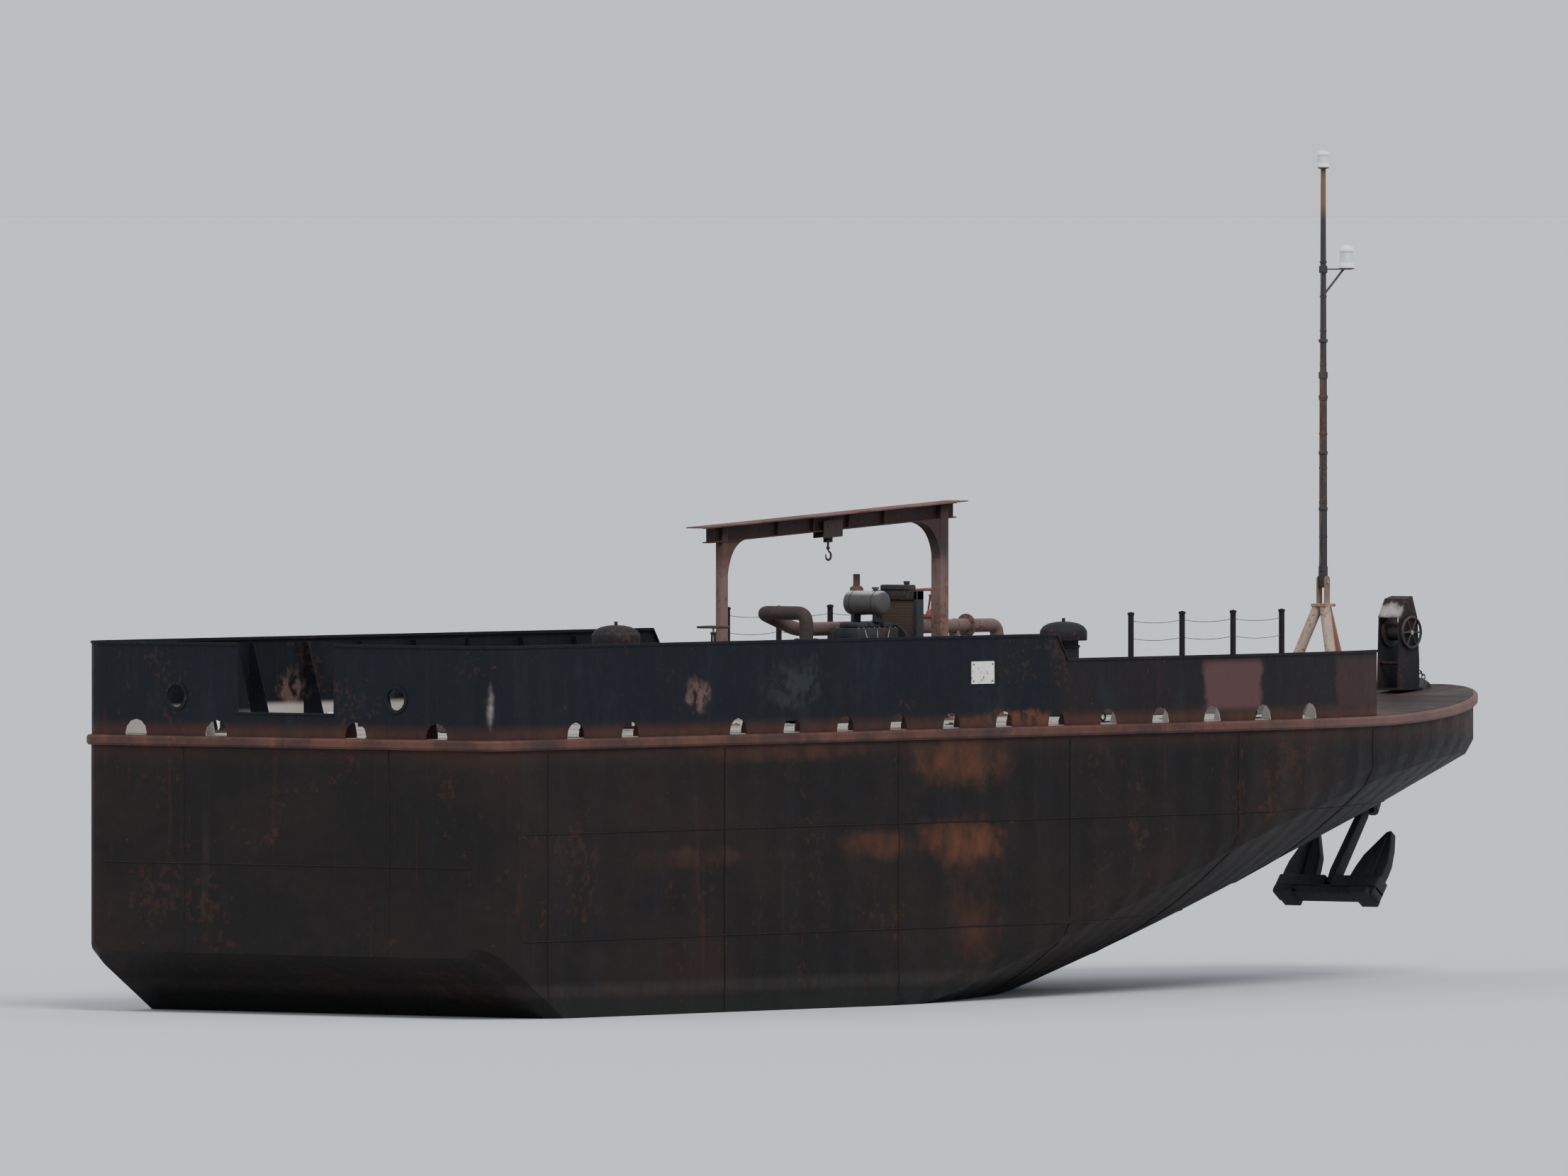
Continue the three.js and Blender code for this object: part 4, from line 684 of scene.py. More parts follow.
# Goalpost: two welded box posts on the centre line carry an I beam that rises to the bow, with
# curved gussets in the corners. The aft post is pinkish old primer over a yellowed foot; the
# forward post is soot dark at its head.
SLOPE = 0.0535
FOOT_TOP = 3.57


def beam_top(x):
    return 5.7 + (x - station(7.43)) * SLOPE


def sloping(work, x0, x1, y0, y1, below, depth, edge=0.003):
    """A plate along the beam, whose upper edge runs so far below the beam's top."""
    outline = [(x, beam_top(x) - below - drop) for x, drop in ((x0, depth), (x1, depth), (x1, 0), (x0, 0))]
    work.plate(outline, (y0, y1), "y", edge)


coat = Coat("goalpost_primer", (0.145, 0.09, 0.081), 0.78, gloss=0.2).weather(0.75, 20, 0.55, 0.3)
coat.layer((0.28, 0.22, 0.15), coat.patch((station(7.43), 0, 3.75), (0.35, 0.35, 0.62), 0.35, 5), 0.8)
coat.layer((0.03, 0.024, 0.026), coat.patch((station(11.25), 0, 5.75), (0.75, 0.4, 0.8), 0.3, 4), 0.9)
coat.layer((0.06, 0.028, 0.022), coat.patch((station(7.45), 0, 5.62), (0.55, 0.4, 0.55), 0.35, 4), 0.85)
post_primer = coat.layer((0.04, 0.022, 0.02), coat.ramp("Z", 5.46, 5.58), 0.9).done()
beam = Work("goalpost", post_primer)
for half, below, depth, edge in (
    (0.055, 0, 0.014, 0.003),
    (0.005, 0.004, 0.162, 0.001),
    (0.055, 0.156, 0.014, 0.003),
):
    sloping(beam, station(7.16), station(11.48), -half, half, below, depth, edge)
post_feet = []
for x, half, way, reach, drop in (
    (station(7.43), 0.05, 1, 0.33, 0.43),
    (station(11.25), 0.07, -1, 0.48, 0.46),
):
    beam.block((x - half, -half, 3.56), (x + half, half, beam_top(x) - 0.008), 0.01, 3)
    foot = half + 0.09
    beam.block((x - foot, -foot, ON_DECK), (x + foot, foot, FOOT_TOP), 0.003)
    start = x + way * (half - 0.004)
    corner = Vector((start, beam_top(start) - 0.166))
    far = Vector((start + way * reach, beam_top(start + way * reach) - 0.166))
    low = Vector((start, beam_top(x) - 0.166 - drop))
    bow = Vector((start + way * 0.04, beam_top(x) - 0.196))
    curve = [(1 - t) ** 2 * far + 2 * t * (1 - t) * bow + t * t * low for t in [k / 12 for k in range(13)]]
    beam.plate([corner, *curve], (0.008 - half, half - 0.008), "y", 0.002)
    for side in (-1, 1):
        fin = [(side * (half + out), z)
               for out, z in ((-0.002, FOOT_TOP), (0.075, FOOT_TOP), (-0.002, 3.7))]
        beam.plate(fin, (x - 0.005, x + 0.005), "x", 0.001)
    hole = half + 0.06
    post_feet += [(x + a * hole, b * hole, FOOT_TOP) for a in (-1, 1) for b in (-1, 1)]
for x in [station(8.35) + k * 0.62 for k in range(4)]:
    for side in (-1, 1):
        if abs(x - station(9.28)) > 0.3:
            sloping(beam, x - 0.005, x + 0.005, side * 0.004, side * 0.053, 0.013, 0.144, 0.001)
beam.done("barge", "post_paint", "goalpost_frame")
bolts("goalpost_foot_bolts", post_feet, 0.015)

coat = Coat("goalpost_cover_rust", (0.085, 0.034, 0.028), 0.75, gloss=0.3).weather(0.7, 20, 0.3, 0.3)
coat.layer((0.17, 0.075, 0.062), coat.spots(0.45, 0.6, 2.0, EVEN, 6, 5), 0.6)
wear(coat.done(), "goalpost_cover")
rivets = [((x, side * 0.1, beam_top(x) + 0.0145), (-SLOPE, 0, 1))
          for x in [station(7.1) + 0.31 * k for k in range(15)] for side in (-1, 1)]
bolts("goalpost_cover_bolts", rivets, 0.008)


# Hoist: a four-wheeled trolley on the beam's lower flange, with a drop-forged hook that swings
# from its pin. Both are greasy, bare steel gone brown.
TROLLEY = station(9.28)
HOOK_PIN = beam_top(TROLLEY) - 0.264
greasy_steel = Coat("greasy_steel", (0.035, 0.028, 0.024), 0.45, 0.5).weather(0.5, 50, 0.1, 0.4).done()
wear(greasy_steel, "hoist_trolley")
axles = [((x, side * 0.0755, beam_top(x) - 0.156 + 0.0426), (0, side, 0))
         for side in (-1, 1) for x in (TROLLEY - 0.0825, TROLLEY + 0.0825)]
bolts("trolley_axle_nuts", axles, 0.014, body="trolley")
hook = Work("hoist_swing_hook", greasy_steel, (TROLLEY, 0, HOOK_PIN))
hook.ring((0, 0, 0), 0.0225, 0.0095, ACROSS, 28, 12)
hook.rod((0, 0, -0.03), (0, 0, -0.082), 0.013)
swivel = [(0, 0), (0.016, 0.002), (0.021, 0.012), (0.021, 0.028), (0.014, 0.036)]
hook.turned((0, 0, -0.112), swivel, steps=28)
bend = [(0.005 + 0.046 * math.cos(turn), 0, -0.176 + 0.046 * math.sin(turn))
        for turn in [math.radians(72 - k * 9.2) for k in range(31)]]
hook.tube([(0, 0, -0.105), (0.004, 0, -0.122), *bend], 0.0115, 16,
          taper=lambda t: 0.75 + 0.55 * math.sin(math.pi * t) - 0.25 * t)
hook.done("hook", "rusty_steel", "hoist_hook")


# Pump set bed: two channel rails and cross bars, welded to the deck and thick with old oil. A row
# of bolts along each rail is for the machines that stand on it.
coat = Coat("oily_machine_paint", (0.018, 0.019, 0.022), 0.5, 0.1, gloss=0.35)
oily_paint = coat.weather(0.5, 34, 0.3, 0.6).done()
wear(oily_paint, "pump_bed")
bed_bolts = [(station(8.72) + 0.24 * k, side * 0.295, 3.711) for k in range(9) for side in (-1, 1)]
bolts("pump_bed_bolts", bed_bolts, 0.014)


# Engine: a three-cylinder cast-iron diesel. The starboard side carries the injection pump with its
# steel pipes, the filters and the dipstick; the port side carries the exhaust manifold.
coat = Coat("engine_grey", (0.024, 0.027, 0.029), 0.5, 0.1, gloss=0.3)
engine_grey = coat.weather(0.4, 40, 0.35, 0.75).done()
bare_steel = Coat("machined_steel", (0.34, 0.32, 0.3), 0.35, 0.9).weather(0.35, 60, 0.2, 0.3).done()
ENGINE = station(9.56)
ENGINE_TOP = 4.63
SHAFT_Z = 4.11
MANIFOLD_Z = 4.5
GEAR_Y = -0.235
CYLINDERS = (0.175, 0.395, 0.615)
motor = Work("pump_diesel", engine_grey, (ENGINE, 0, 0))
motor.block((0, -0.19, 3.8), (0.8, 0.19, 4.45), 0.016, 3)
motor.block((0.06, -0.14, 3.731), (0.74, 0.14, 3.815), 0.02, 3)
motor.block((0.04, -0.16, 4.445), (0.76, 0.16, 4.57), 0.01)
for x in (0.06, 0.64):
    motor.block((x, -0.29, 3.711), (x + 0.1, 0.29, 3.735))
    for side in (-1, 1):
        web = [(side * y, z) for y, z in ((0.18, 3.73), (0.27, 3.73), (0.19, 3.82), (0.18, 3.82))]
        motor.plate(web, (x + 0.04, x + 0.06), "x", 0.002)
for x in CYLINDERS:
    motor.block((x - 0.085, -0.14, 4.565), (x + 0.085, 0.14, ENGINE_TOP), 0.022, 4)
    motor.rod((x, 0.13, MANIFOLD_Z), (x, 0.2, MANIFOLD_Z), 0.036)
    for side in (-1, 1):
        core_plug = [(0.03, 0), (0.034, 0.004), (0.034, 0.01), (0, 0.011)]
        motor.turned((x, side * 0.1885, 4.0), core_plug, (0, side, 0), 24)
for x in [0.075 + k * 0.215 for k in range(4)]:
    for side in (-1, 1):
        motor.block((x, side * 0.188, 3.84), (x + 0.014, side * 0.204, 4.42))
motor.rod((-0.04, 0, SHAFT_Z), (0.012, 0, SHAFT_Z), 0.225, edge=0.008, steps=56)
motor.rod((0.06, 0.19, MANIFOLD_Z), (0.74, 0.19, MANIFOLD_Z), 0.05, edge=0.012)
motor.block((0.62, 0.19, 4.452), (0.72, 0.2415, 4.548))
motor.block((0.14, -0.275, 4.06), (0.44, -0.185, 4.2), 0.012, 3)
motor.rod((0.04, GEAR_Y, 4.13), (0.15, GEAR_Y, 4.13), 0.038)
filter_can = [(0.03, 0), (0.044, 0.014), (0.046, 0.15), (0.05, 0.155), (0.05, 0.19), (0.02, 0.2)]
for x in (0.54, 0.67):
    motor.turned((x, GEAR_Y, 3.93), filter_can, steps=32)
    motor.block((x - 0.05, -0.245, 4.13), (x + 0.05, -0.18, 4.16))
motor.use(bare_steel)
for k in range(3):
    start, end = Vector((0.2 + k * 0.08, GEAR_Y, 4.195)), Vector((0.175 + k * 0.22, -0.15, 4.56))
    path = []
    for turn in [math.pi * step / 16 for step in range(17)]:
        sway = Vector((0.02 * math.sin(2 * turn), -0.03 * math.sin(turn), 0))
        path.append(start.lerp(end, turn / math.pi) + sway)
    motor.tube(path, 0.0045, 8)
motor.tube([(0.49, -0.192, 3.95), (0.49, -0.215, 4.1), (0.49, -0.225, 4.3)], 0.005, 8)
motor.done("barge", "machine_paint", "pump_engine")
head_bolts = [(ENGINE + 0.065 + 0.092 * k, side * 0.149, 4.57) for k in range(8) for side in (-1, 1)]
bolts("engine_head_bolts", head_bolts, 0.01, bare_steel)
cover_bolts = [(ENGINE + x, 0, ENGINE_TOP - 0.008) for x in CYLINDERS]
bolts("engine_cover_bolts", cover_bolts, 0.011, bare_steel)


# Radiator: a pressed steel frame round a finned copper core gone dull, with its top tank and
# filler. The fan's cowl faces the engine, and a guard of thin bars covers the other side.
coat = Coat("radiator_core", (0.045, 0.034, 0.026), 0.6, 0.4)
fins = coat.bands("Z", 22)
core_fins = coat.layer((0.11, 0.065, 0.04), fins, 0.6).rise(fins, 0.003).done()
BED_TOP = 3.7103
cooler = Work("pump_set_radiator", oily_paint, (station(10.45), 0, 0))
for side in (-1, 1):
    cooler.block((0, side * 0.31, BED_TOP), (0.12, side * 0.262, 4.97), 0.006)
cooler.block((0, -0.31, BED_TOP), (0.12, 0.31, 3.79), 0.006)
cooler.block((0, -0.31, 4.86), (0.12, 0.31, 4.97), 0.012, 3)
cooler.block((-0.01, -0.2, 4.965), (0.13, 0.2, 5.03), 0.02, 4)
filler = [(0.03, 0), (0.03, 0.022), (0.036, 0.024), (0.036, 0.045), (0.03, 0.05)]
cooler.turned((0.06, -0.12, 5.02), filler, steps=32)
cooler.rod((-0.07, 0, 4.35), (0.005, 0, 4.35), 0.26, edge=0.006, steps=56)
cooler.use(core_fins)
cooler.block((0.018, -0.27, 3.78), (0.102, 0.27, 4.87), 0.002)
cooler.use(engine_grey)
for y in [-0.225 + 0.075 * k for k in range(7)]:
    cooler.rod((0.11, y, 3.785), (0.11, y, 4.865), 0.004, edge=0.001, steps=8)
cooler.done("barge", "machine_paint", "pump_radiator")


# Fuel tank: a grey steel drum with dished ends, made nearly white on top by a painted highlight.
# Two bands strap it to saddles across the top of the engine.
coat = Coat("fuel_tank_grey", (0.055, 0.054, 0.053), 0.55, gloss=0.3).weather(0.3, 24, 0.4, 0.35)
# The faces that look up are lightened to near white: a painted highlight.
tank_grey_top_highlight = coat.layer((0.46, 0.455, 0.44), coat.facing("Z", 0.55, 1.0), 0.8).done()
TANK_Z = 4.84
tank = Work("pump_set_fuel_tank", tank_grey_top_highlight, (station(9.96), 0, 0))
dished = [(0, 0), (0.05, 0.002), (0.092, 0.012), (0.12, 0.028), (0.13, 0.05),
          (0.13, 0.47), (0.12, 0.492), (0.092, 0.508), (0.05, 0.518), (0, 0.52)]
tank.turned((0, -0.26, TANK_Z), dished, ACROSS, 56)
filler = [(0.026, 0), (0.026, 0.032), (0.04, 0.034), (0.04, 0.054), (0.034, 0.06)]
tank.turned((0, -0.12, 4.955), filler, steps=32)
tank.use(oily_paint)
for y in (-0.15, 0.15):
    tank.block((-0.06, y - 0.025, ENGINE_TOP + 0.0003), (0.06, y + 0.025, 4.735))
    tank.ring((0, y, TANK_Z), 0.1305, 0.004, ACROSS, 48, 8)
tank.done("barge", "plate_white", "pump_fuel_tank")


# Exhaust: a heat-browned steel tube that bends up from the manifold, through a welded silencer can
# to a rain flap. Soot has blackened its upper end.
def bent(points, bend, steps=10):
    """A path through points, rounded off at each corner from so far before it to so far past it."""
    corners = [Vector(point) for point in points]
    path = [corners[0]]
    for before, corner, after in zip(corners, corners[1:], corners[2:]):
        start = corner + (before - corner).normalized() * bend
        end = corner + (after - corner).normalized() * bend
        for t in [k / steps for k in range(steps + 1)]:
            path.append((1 - t) ** 2 * start + 2 * t * (1 - t) * corner + t * t * end)
    return path + corners[-1:]


coat = Coat("exhaust_heat_rust", (0.085, 0.04, 0.027), 0.8, 0.2).weather(0.9, 34, 0.3, 0.4)
hot_rust = coat.layer((0.02, 0.018, 0.018), coat.ramp("Z", 5.02, 5.14), 0.85).done()
stack = Work("pump_set_exhaust", hot_rust, (station(10.23), 0.352, MANIFOLD_Z))
stack.tube(bent([(0, -0.1097, 0), (0, 0, 0), (0, 0, 0.635)], 0.07), 0.038, 24)
silencer = [(0.04, 0), (0.066, 0.016), (0.075, 0.03), (0.075, 0.29), (0.066, 0.304), (0.04, 0.32)]
stack.turned((0, 0, 0.2), silencer)
stack.rod((0, -0.1097, 0), (0, -0.098, 0), 0.05)
stack.turned((0, 0, 0.633), [(0.036, 0), (0.038, 0.004), (0.038, 0.012), (0, 0.014)], steps=28)
stack.done("barge", "rusty_steel", "pump_exhaust")


# Pump: a cast volute with bolted covers on a pedestal. The shaft, its coupling halves and the
# flywheel are bright where they turn.
PUMP = station(8.9)
volute = Work("cargo_pump", casting, (PUMP, 0, SHAFT_Z))
casing = [(0.205, 0), (0.232, 0.012), (0.244, 0.035), (0.25, 0.07),
          (0.25, 0.15), (0.244, 0.185), (0.232, 0.208), (0.205, 0.22)]
volute.turned((-0.11, 0, 0), casing, ALONG, 64)
cover = [(0.15, 0), (0.15, 0.018), (0.11, 0.02), (0.104, 0.07), (0.08, 0.105), (0.072, 0.125)]
volute.turned((0.105, 0, 0), cover, ALONG, 44)
volute.block((-0.13, -0.24, BED_TOP - SHAFT_Z), (0.13, 0.24, -0.36), 0.006)
volute.plate([(-0.15, -0.37), (0.15, -0.37), (0.115, -0.06), (-0.115, -0.06)], (-0.08, 0.08), "x", 0.008, 2)
volute.rod((0, 0, 0.2), (0, 0, 0.32), 0.084)
volute.rod((0, 0, 0.306), (0, 0, 0.332), 0.14, steps=40)
volute.rod((-0.1, 0, 0), (-0.21, 0, 0), 0.09)
volute.rod((-0.194, 0, 0), (-0.22, 0, 0), 0.15, steps=40)
volute.done("barge", "cast_black", "pump_casing")
pump_bolts = []
for x, radius, count, way in ((-0.111, 0.195, 16, -1), (0.111, 0.195, 16, 1), (0.124, 0.132, 8, 1)):
    pump_bolts += [(spot, (way, 0, 0)) for spot in circle((PUMP + x, 0, SHAFT_Z), radius, count, ALONG)]
bolts("cargo_pump_bolts", pump_bolts, 0.011)

turning = Work("pump_drive_shaft", bare_steel, (station(9), 0, SHAFT_Z))
turning.rod((0.131, 0, 0), (0.508, 0, 0), 0.03, steps=32)
for x, thick, radius in ((0.24, 0.05, 0.12), (0.3, 0.05, 0.12), (0.466, 0.048, 0.17)):
    rows = [(radius * 0.5, 0), (radius * 0.52, 0.004), (radius * 0.9, 0.004), (radius * 0.94, 0),
            (radius - 0.003, 0), (radius, 0.003), (radius, thick - 0.003), (radius - 0.003, thick)]
    turning.turned((x, 0, 0), rows, ALONG, 48)
turning.rod((0.285, 0, 0), (0.305, 0, 0), 0.07)
turning.done("shaft", "rusty_steel", "pump_shaft")
coupling = [(spot, ALONG) for spot in circle((station(9.291), 0, SHAFT_Z), 0.095, 6, ALONG)]
bolts("pump_coupling_bolts", coupling, 0.01, body="shaft")


# Cargo pipes: 150 mm steel pipe in flat pink primer, paler on its upper faces, with bolted
# flanges, and welded saddles that carry it over the deck. The aft pipe has gone dark.
coat = Coat("pipe_pink_primer", (0.12, 0.08, 0.073), 0.78, gloss=0.22).weather(0.45, 26, 0.35, 0.3)
coat.layer((0.2, 0.15, 0.14), coat.facing("Z", 0.5, 1.0), 0.35)
aft_pipe = coat.ramp("X", station(9.35), station(9.05))
pink_primer = coat.layer((0.03, 0.023, 0.021), aft_pipe, 0.88).done()
PIPE = 0.076
FLANGE = 0.024
UP = (0, 0, 1)
flange_bolts = []


def cargo_pipe(name, node, y, z, route, bend, pump_end, joints, saddles, neck):
    """A pipe with flanges at the pump's end, on the deck and at its joints, and a neck for its valve."""
    work = Work(name, pink_primer)
    work.tube(bent(route, bend), PIPE, 28)
    for place, axis in [pump_end, (route[-1], UP)] + [((station(x), y, z), ALONG) for x in joints]:
        place, axis = Vector(place), Vector(axis)
        work.rod(place, place + axis * FLANGE, 0.132, steps=40)
        for spot in circle(place, 0.108, 8, axis, math.pi / 8):
            flange_bolts.append((spot + axis * FLANGE, axis))
            if min(place.z, spot.z) > DECK + 0.01:
                flange_bolts.append((spot, -axis))
    for x in [station(x) for x in saddles]:
        work.block((x - 0.02, y - 0.06, ON_DECK), (x + 0.02, y + 0.06, z - 0.05), 0.002)
        work.block((x - 0.06, y - 0.09, ON_DECK), (x + 0.06, y + 0.09, DECK + 0.014), 0.002)
        work.ring((x, y, z), PIPE + 0.002, 0.006, ALONG, 36, 8)
    work.rod((station(neck), y, z + 0.02), (station(neck), y, z + PIPE + 0.024), 0.09, steps=36)
    work.done("barge", "primer", node)


PIPE_Y = 0.62
DELIVERY_Z = 4.55
SUCTION_Z = 3.88
OUTLET = (PUMP, 0, SHAFT_Z + 0.3323)
foot_x = station(13.06)
route = [OUTLET, (PUMP, 0, 4.74), (PUMP, PIPE_Y, 4.74), (station(9.5), PIPE_Y, DELIVERY_Z),
         (foot_x, PIPE_Y, DELIVERY_Z), (foot_x, PIPE_Y, ON_DECK)]
cargo_pipe("delivery_pipe", "pipe_forward", PIPE_Y, DELIVERY_Z, route, 0.12, (OUTLET, UP),
           (11.0, 12.5), (10.86, 12.3), 11.9)
INLET = (station(8.6557), 0, SHAFT_Z)
bend_x, foot_x = station(8.3), station(4.4)
route = [(station(8.6797), 0, SHAFT_Z), (bend_x, 0, SHAFT_Z), (bend_x, 0, SUCTION_Z),
         (bend_x, -PIPE_Y, SUCTION_Z), (foot_x, -PIPE_Y, SUCTION_Z), (foot_x, -PIPE_Y, ON_DECK)]
cargo_pipe("suction_pipe", "pipe_aft", -PIPE_Y, SUCTION_Z, route, 0.11, (INLET, ALONG),
           (6.2, 6.8), (5.6, 7.3), 6.5)
bolts("pipe_flange_bolts", flange_bolts, 0.01)


# Gate valves: a cast bonnet and yoke carry a hand wheel with six spokes on a bare steel spindle.
# The aft valve is in the pipe's primer, the forward one in red lead.
valve_red = Coat("valve_red_lead", (0.22, 0.05, 0.034), 0.65).weather(0.5, 40, 0.3, 0.35).done()
bonnet = [(0.102, 0), (0.105, 0.003), (0.105, 0.027), (0.102, 0.03), (0.066, 0.031), (0.06, 0.06),
          (0.045, 0.085), (0, 0.09)]
for place, x, y, pipe_z, top, paint, slot in (
    ("aft", station(6.5), -PIPE_Y, SUCTION_Z, 4.63, pink_primer, "primer"),
    ("forward", station(11.9), PIPE_Y, DELIVERY_Z, 4.95, valve_red, "gunwale_paint"),
):
    seat = pipe_z + PIPE + 0.0243
    gate = Work("gate_valve_" + place, paint, (x, y, 0))
    gate.turned((0, 0, seat), bonnet)
    for side in (-1, 1):
        gate.rod((0, side * 0.048, seat + 0.07), (0, side * 0.02, top - 0.06), 0.012, 0.01)
    gate.turned((0, 0, top - 0.078), [(0.03, 0), (0.034, 0.005), (0.034, 0.022), (0.024, 0.028)], steps=28)
    rim, hub = Vector((0, 0, top + 0.002)), Vector((0, 0, top + 0.01))
    for arm in circle((0, 0, 0), 0.165, 6)[:3]:
        gate.tube([rim + arm, hub + arm * 0.5, hub - arm * 0.5, rim - arm], 0.009, 10)
    gate.ring((0, 0, top), 0.17, 0.013, steps=56)
    gate.turned((0, 0, top - 0.012), [(0.028, 0), (0.028, 0.022), (0.018, 0.027)], steps=24)
    gate.use(bare_steel)
    gate.rod((0, 0, seat + 0.08), (0, 0, top + 0.016), 0.012, edge=0.002)
    gate.done("barge", slot, "valve_" + place)
    bolts("gate_valve_bolts_" + place, circle((x, y, seat + 0.03), 0.086, 8), 0.01)


# Guard wires: two thin galvanised wire ropes sag between the four stanchions on each low wall, one
# above the other. Most of their zinc has given way to rust.
wire_zinc = Coat("guard_wire", (0.16, 0.13, 0.11), 0.5, 0.7).weather(0.9, 120, 0.1, 0.3).done()
STANCHIONS = [station(x) for x in (11.04, 11.95, 12.86, 13.77)]
for side, sign in SIDES:
    ropes = Work("guard_wires_" + side, wire_zinc)
    for height in (4.47, 4.66):
        for x0, x1 in zip(STANCHIONS, STANCHIONS[1:]):
            path = []
            for t in [k / 12 for k in range(13)]:
                spot = on_side([(x0 + (x1 - x0) * t, 3.3)], sign, 0)[0]
                path.append((spot.x, spot.y - sign * 0.017, height - 0.03 * 4 * t * (1 - t)))
            ropes.tube(path, 0.004, 8)
    ropes.done("barge", "rusty_steel")


# Lantern mast: three tube legs carry a fork; the pole folds aft about the fork's pin. The aft legs
# keep their whitish primer, the forward leg is orange with rust, and the pole is tarred.
coat = Coat("tripod_primer", (0.34, 0.255, 0.2), 0.72, gloss=0.25).weather(0.6, 34, 0.5, 0.25)
coat.layer((0.19, 0.075, 0.036), coat.ramp("X", station(18.18), station(18.25)), 0.9)
leg_primer = coat.layer((0.1, 0.04, 0.025), coat.ramp("Z", 4.55, 4.85), 0.7).done()
coat = Coat("mast_tar", (0.02, 0.017, 0.018), 0.6).weather(0.45, 40, 0.3, 0.2)
mast_tar = coat.layer((0.2, 0.1, 0.04), coat.band("Z", 9.05, 9.5, 0.12), 0.6).done()
MAST = station(18.15)
MAST_PIN = 4.9569
LEG_HEAD = MAST_PIN - 0.25
LEG_FEET = ((0.43, 0), (-0.28, 0.4), (-0.28, -0.4))
legs = Work("mast_tripod_legs", leg_primer, (MAST, 0, 0))
leg_bolts = []
for x, y in LEG_FEET:
    foot = hull_skin.ray_cast(Vector((MAST + x + 0.08, y, 6)), Vector((0, 0, -1)))[0].z + 0.0003
    legs.rod((x, y, foot + 0.03), (x * 0.1, y * 0.1, LEG_HEAD), 0.06, steps=32)
    legs.block((x - 0.08, y - 0.08, foot), (x + 0.08, y + 0.08, foot + 0.018), 0.003)
    legs.turned((x, y, foot + 0.016), [(0.071, 0), (0.067, 0.01), (0, 0.012)], steps=28)
    leg_bolts += [(MAST + x + a * 0.063, y + b * 0.063, foot + 0.018) for a in (-1, 1) for b in (-1, 1)]
legs.block((-0.1, -0.1, LEG_HEAD - 0.02), (0.1, 0.1, LEG_HEAD + 0.016), 0.006)
cheek = [(-0.05, LEG_HEAD + 0.01), (0.05, LEG_HEAD + 0.01), (0.05, MAST_PIN + 0.04),
         (0.03, MAST_PIN + 0.07), (-0.03, MAST_PIN + 0.07), (-0.05, MAST_PIN + 0.04)]
for side in (-1, 1):
    legs.plate(cheek, (side * 0.048, side * 0.06), "y", 0.002)
brace = [(x * 0.595, y * 0.595, 3.72 + (LEG_HEAD - 3.72) * 0.45) for x, y in LEG_FEET]
for first, second in zip(brace, brace[1:] + brace[:1]):
    legs.rod(first, second, 0.01, steps=12)
legs.use(bare_steel)
legs.rod((0, -0.075, MAST_PIN), (0, 0.075, MAST_PIN), 0.016, steps=24)
legs.done("barge", "post_paint", "mast_tripod")
bolts("mast_foot_bolts", leg_bolts, 0.012)

BRACKET_Z = DECK + 4.88
MAST_TOP = DECK + 6.0
MAST_JOIN = DECK + 3.7
pole = Work("lantern_mast_pole", mast_tar, (MAST, 0, 0))
pole.block((-0.036, -0.042, MAST_PIN - 0.06), (0.036, 0.042, MAST_PIN + 0.18), 0.008)
pole.rod((0, 0, MAST_PIN + 0.12), (0, 0, MAST_JOIN), 0.046, 0.042, steps=32)
socket = [(0.044, 0), (0.052, 0.008), (0.052, 0.072), (0.04, 0.08)]
pole.turned((0, 0, MAST_JOIN - 0.04), socket, steps=32)
pole.rod((0, 0, MAST_JOIN), (0, 0, MAST_TOP), 0.038, 0.028, steps=32)
truck = [(0.03, 0), (0.06, 0.008), (0.062, 0.011), (0.062, 0.018), (0.058, 0.02)]
pole.turned((0, 0, MAST_TOP - 0.02), truck, steps=36)
pole.block((0, -0.026, BRACKET_Z - 0.016), (0.49, 0.026, BRACKET_Z), 0.002)
pole.rod((0, 0, BRACKET_Z - 0.3), (0.37, 0, BRACKET_Z - 0.01), 0.013)
pole.rod((0.43, 0, BRACKET_Z - 0.01), (0.43, 0, BRACKET_Z + 0.002), 0.089, steps=36)
pole.rod((0, 0, BRACKET_Z - 0.05), (0, 0, BRACKET_Z + 0.03), 0.048, edge=0.006, steps=32)
for z in [5.45 + 0.38 * k for k in range(9)]:
    reach = 0.044 if z < MAST_JOIN else 0.036
    clip = [(reach, 0), (reach + 0.004, 0.003), (reach + 0.004, 0.021), (reach, 0.024)]
    pole.turned((0, 0, z), clip, steps=28)
for z in [5.75 + 0.62 * k for k in range(4)]:
    pole.rod((0, 0, z), (0, 0, z + 0.04), 0.052, edge=0.006)
pole.use(wire_zinc)
cable = [(-0.049 + 0.01 * (z - 5.2) / 3.3 + 0.004 * math.sin(z * 9), 0.006 * math.sin(z * 5), z)
         for z in [5.16 + 0.12 * k for k in range(28)]]
pole.tube(cable, 0.006, 10)
pole.done("mast", "mast_paint", "mast_pole")


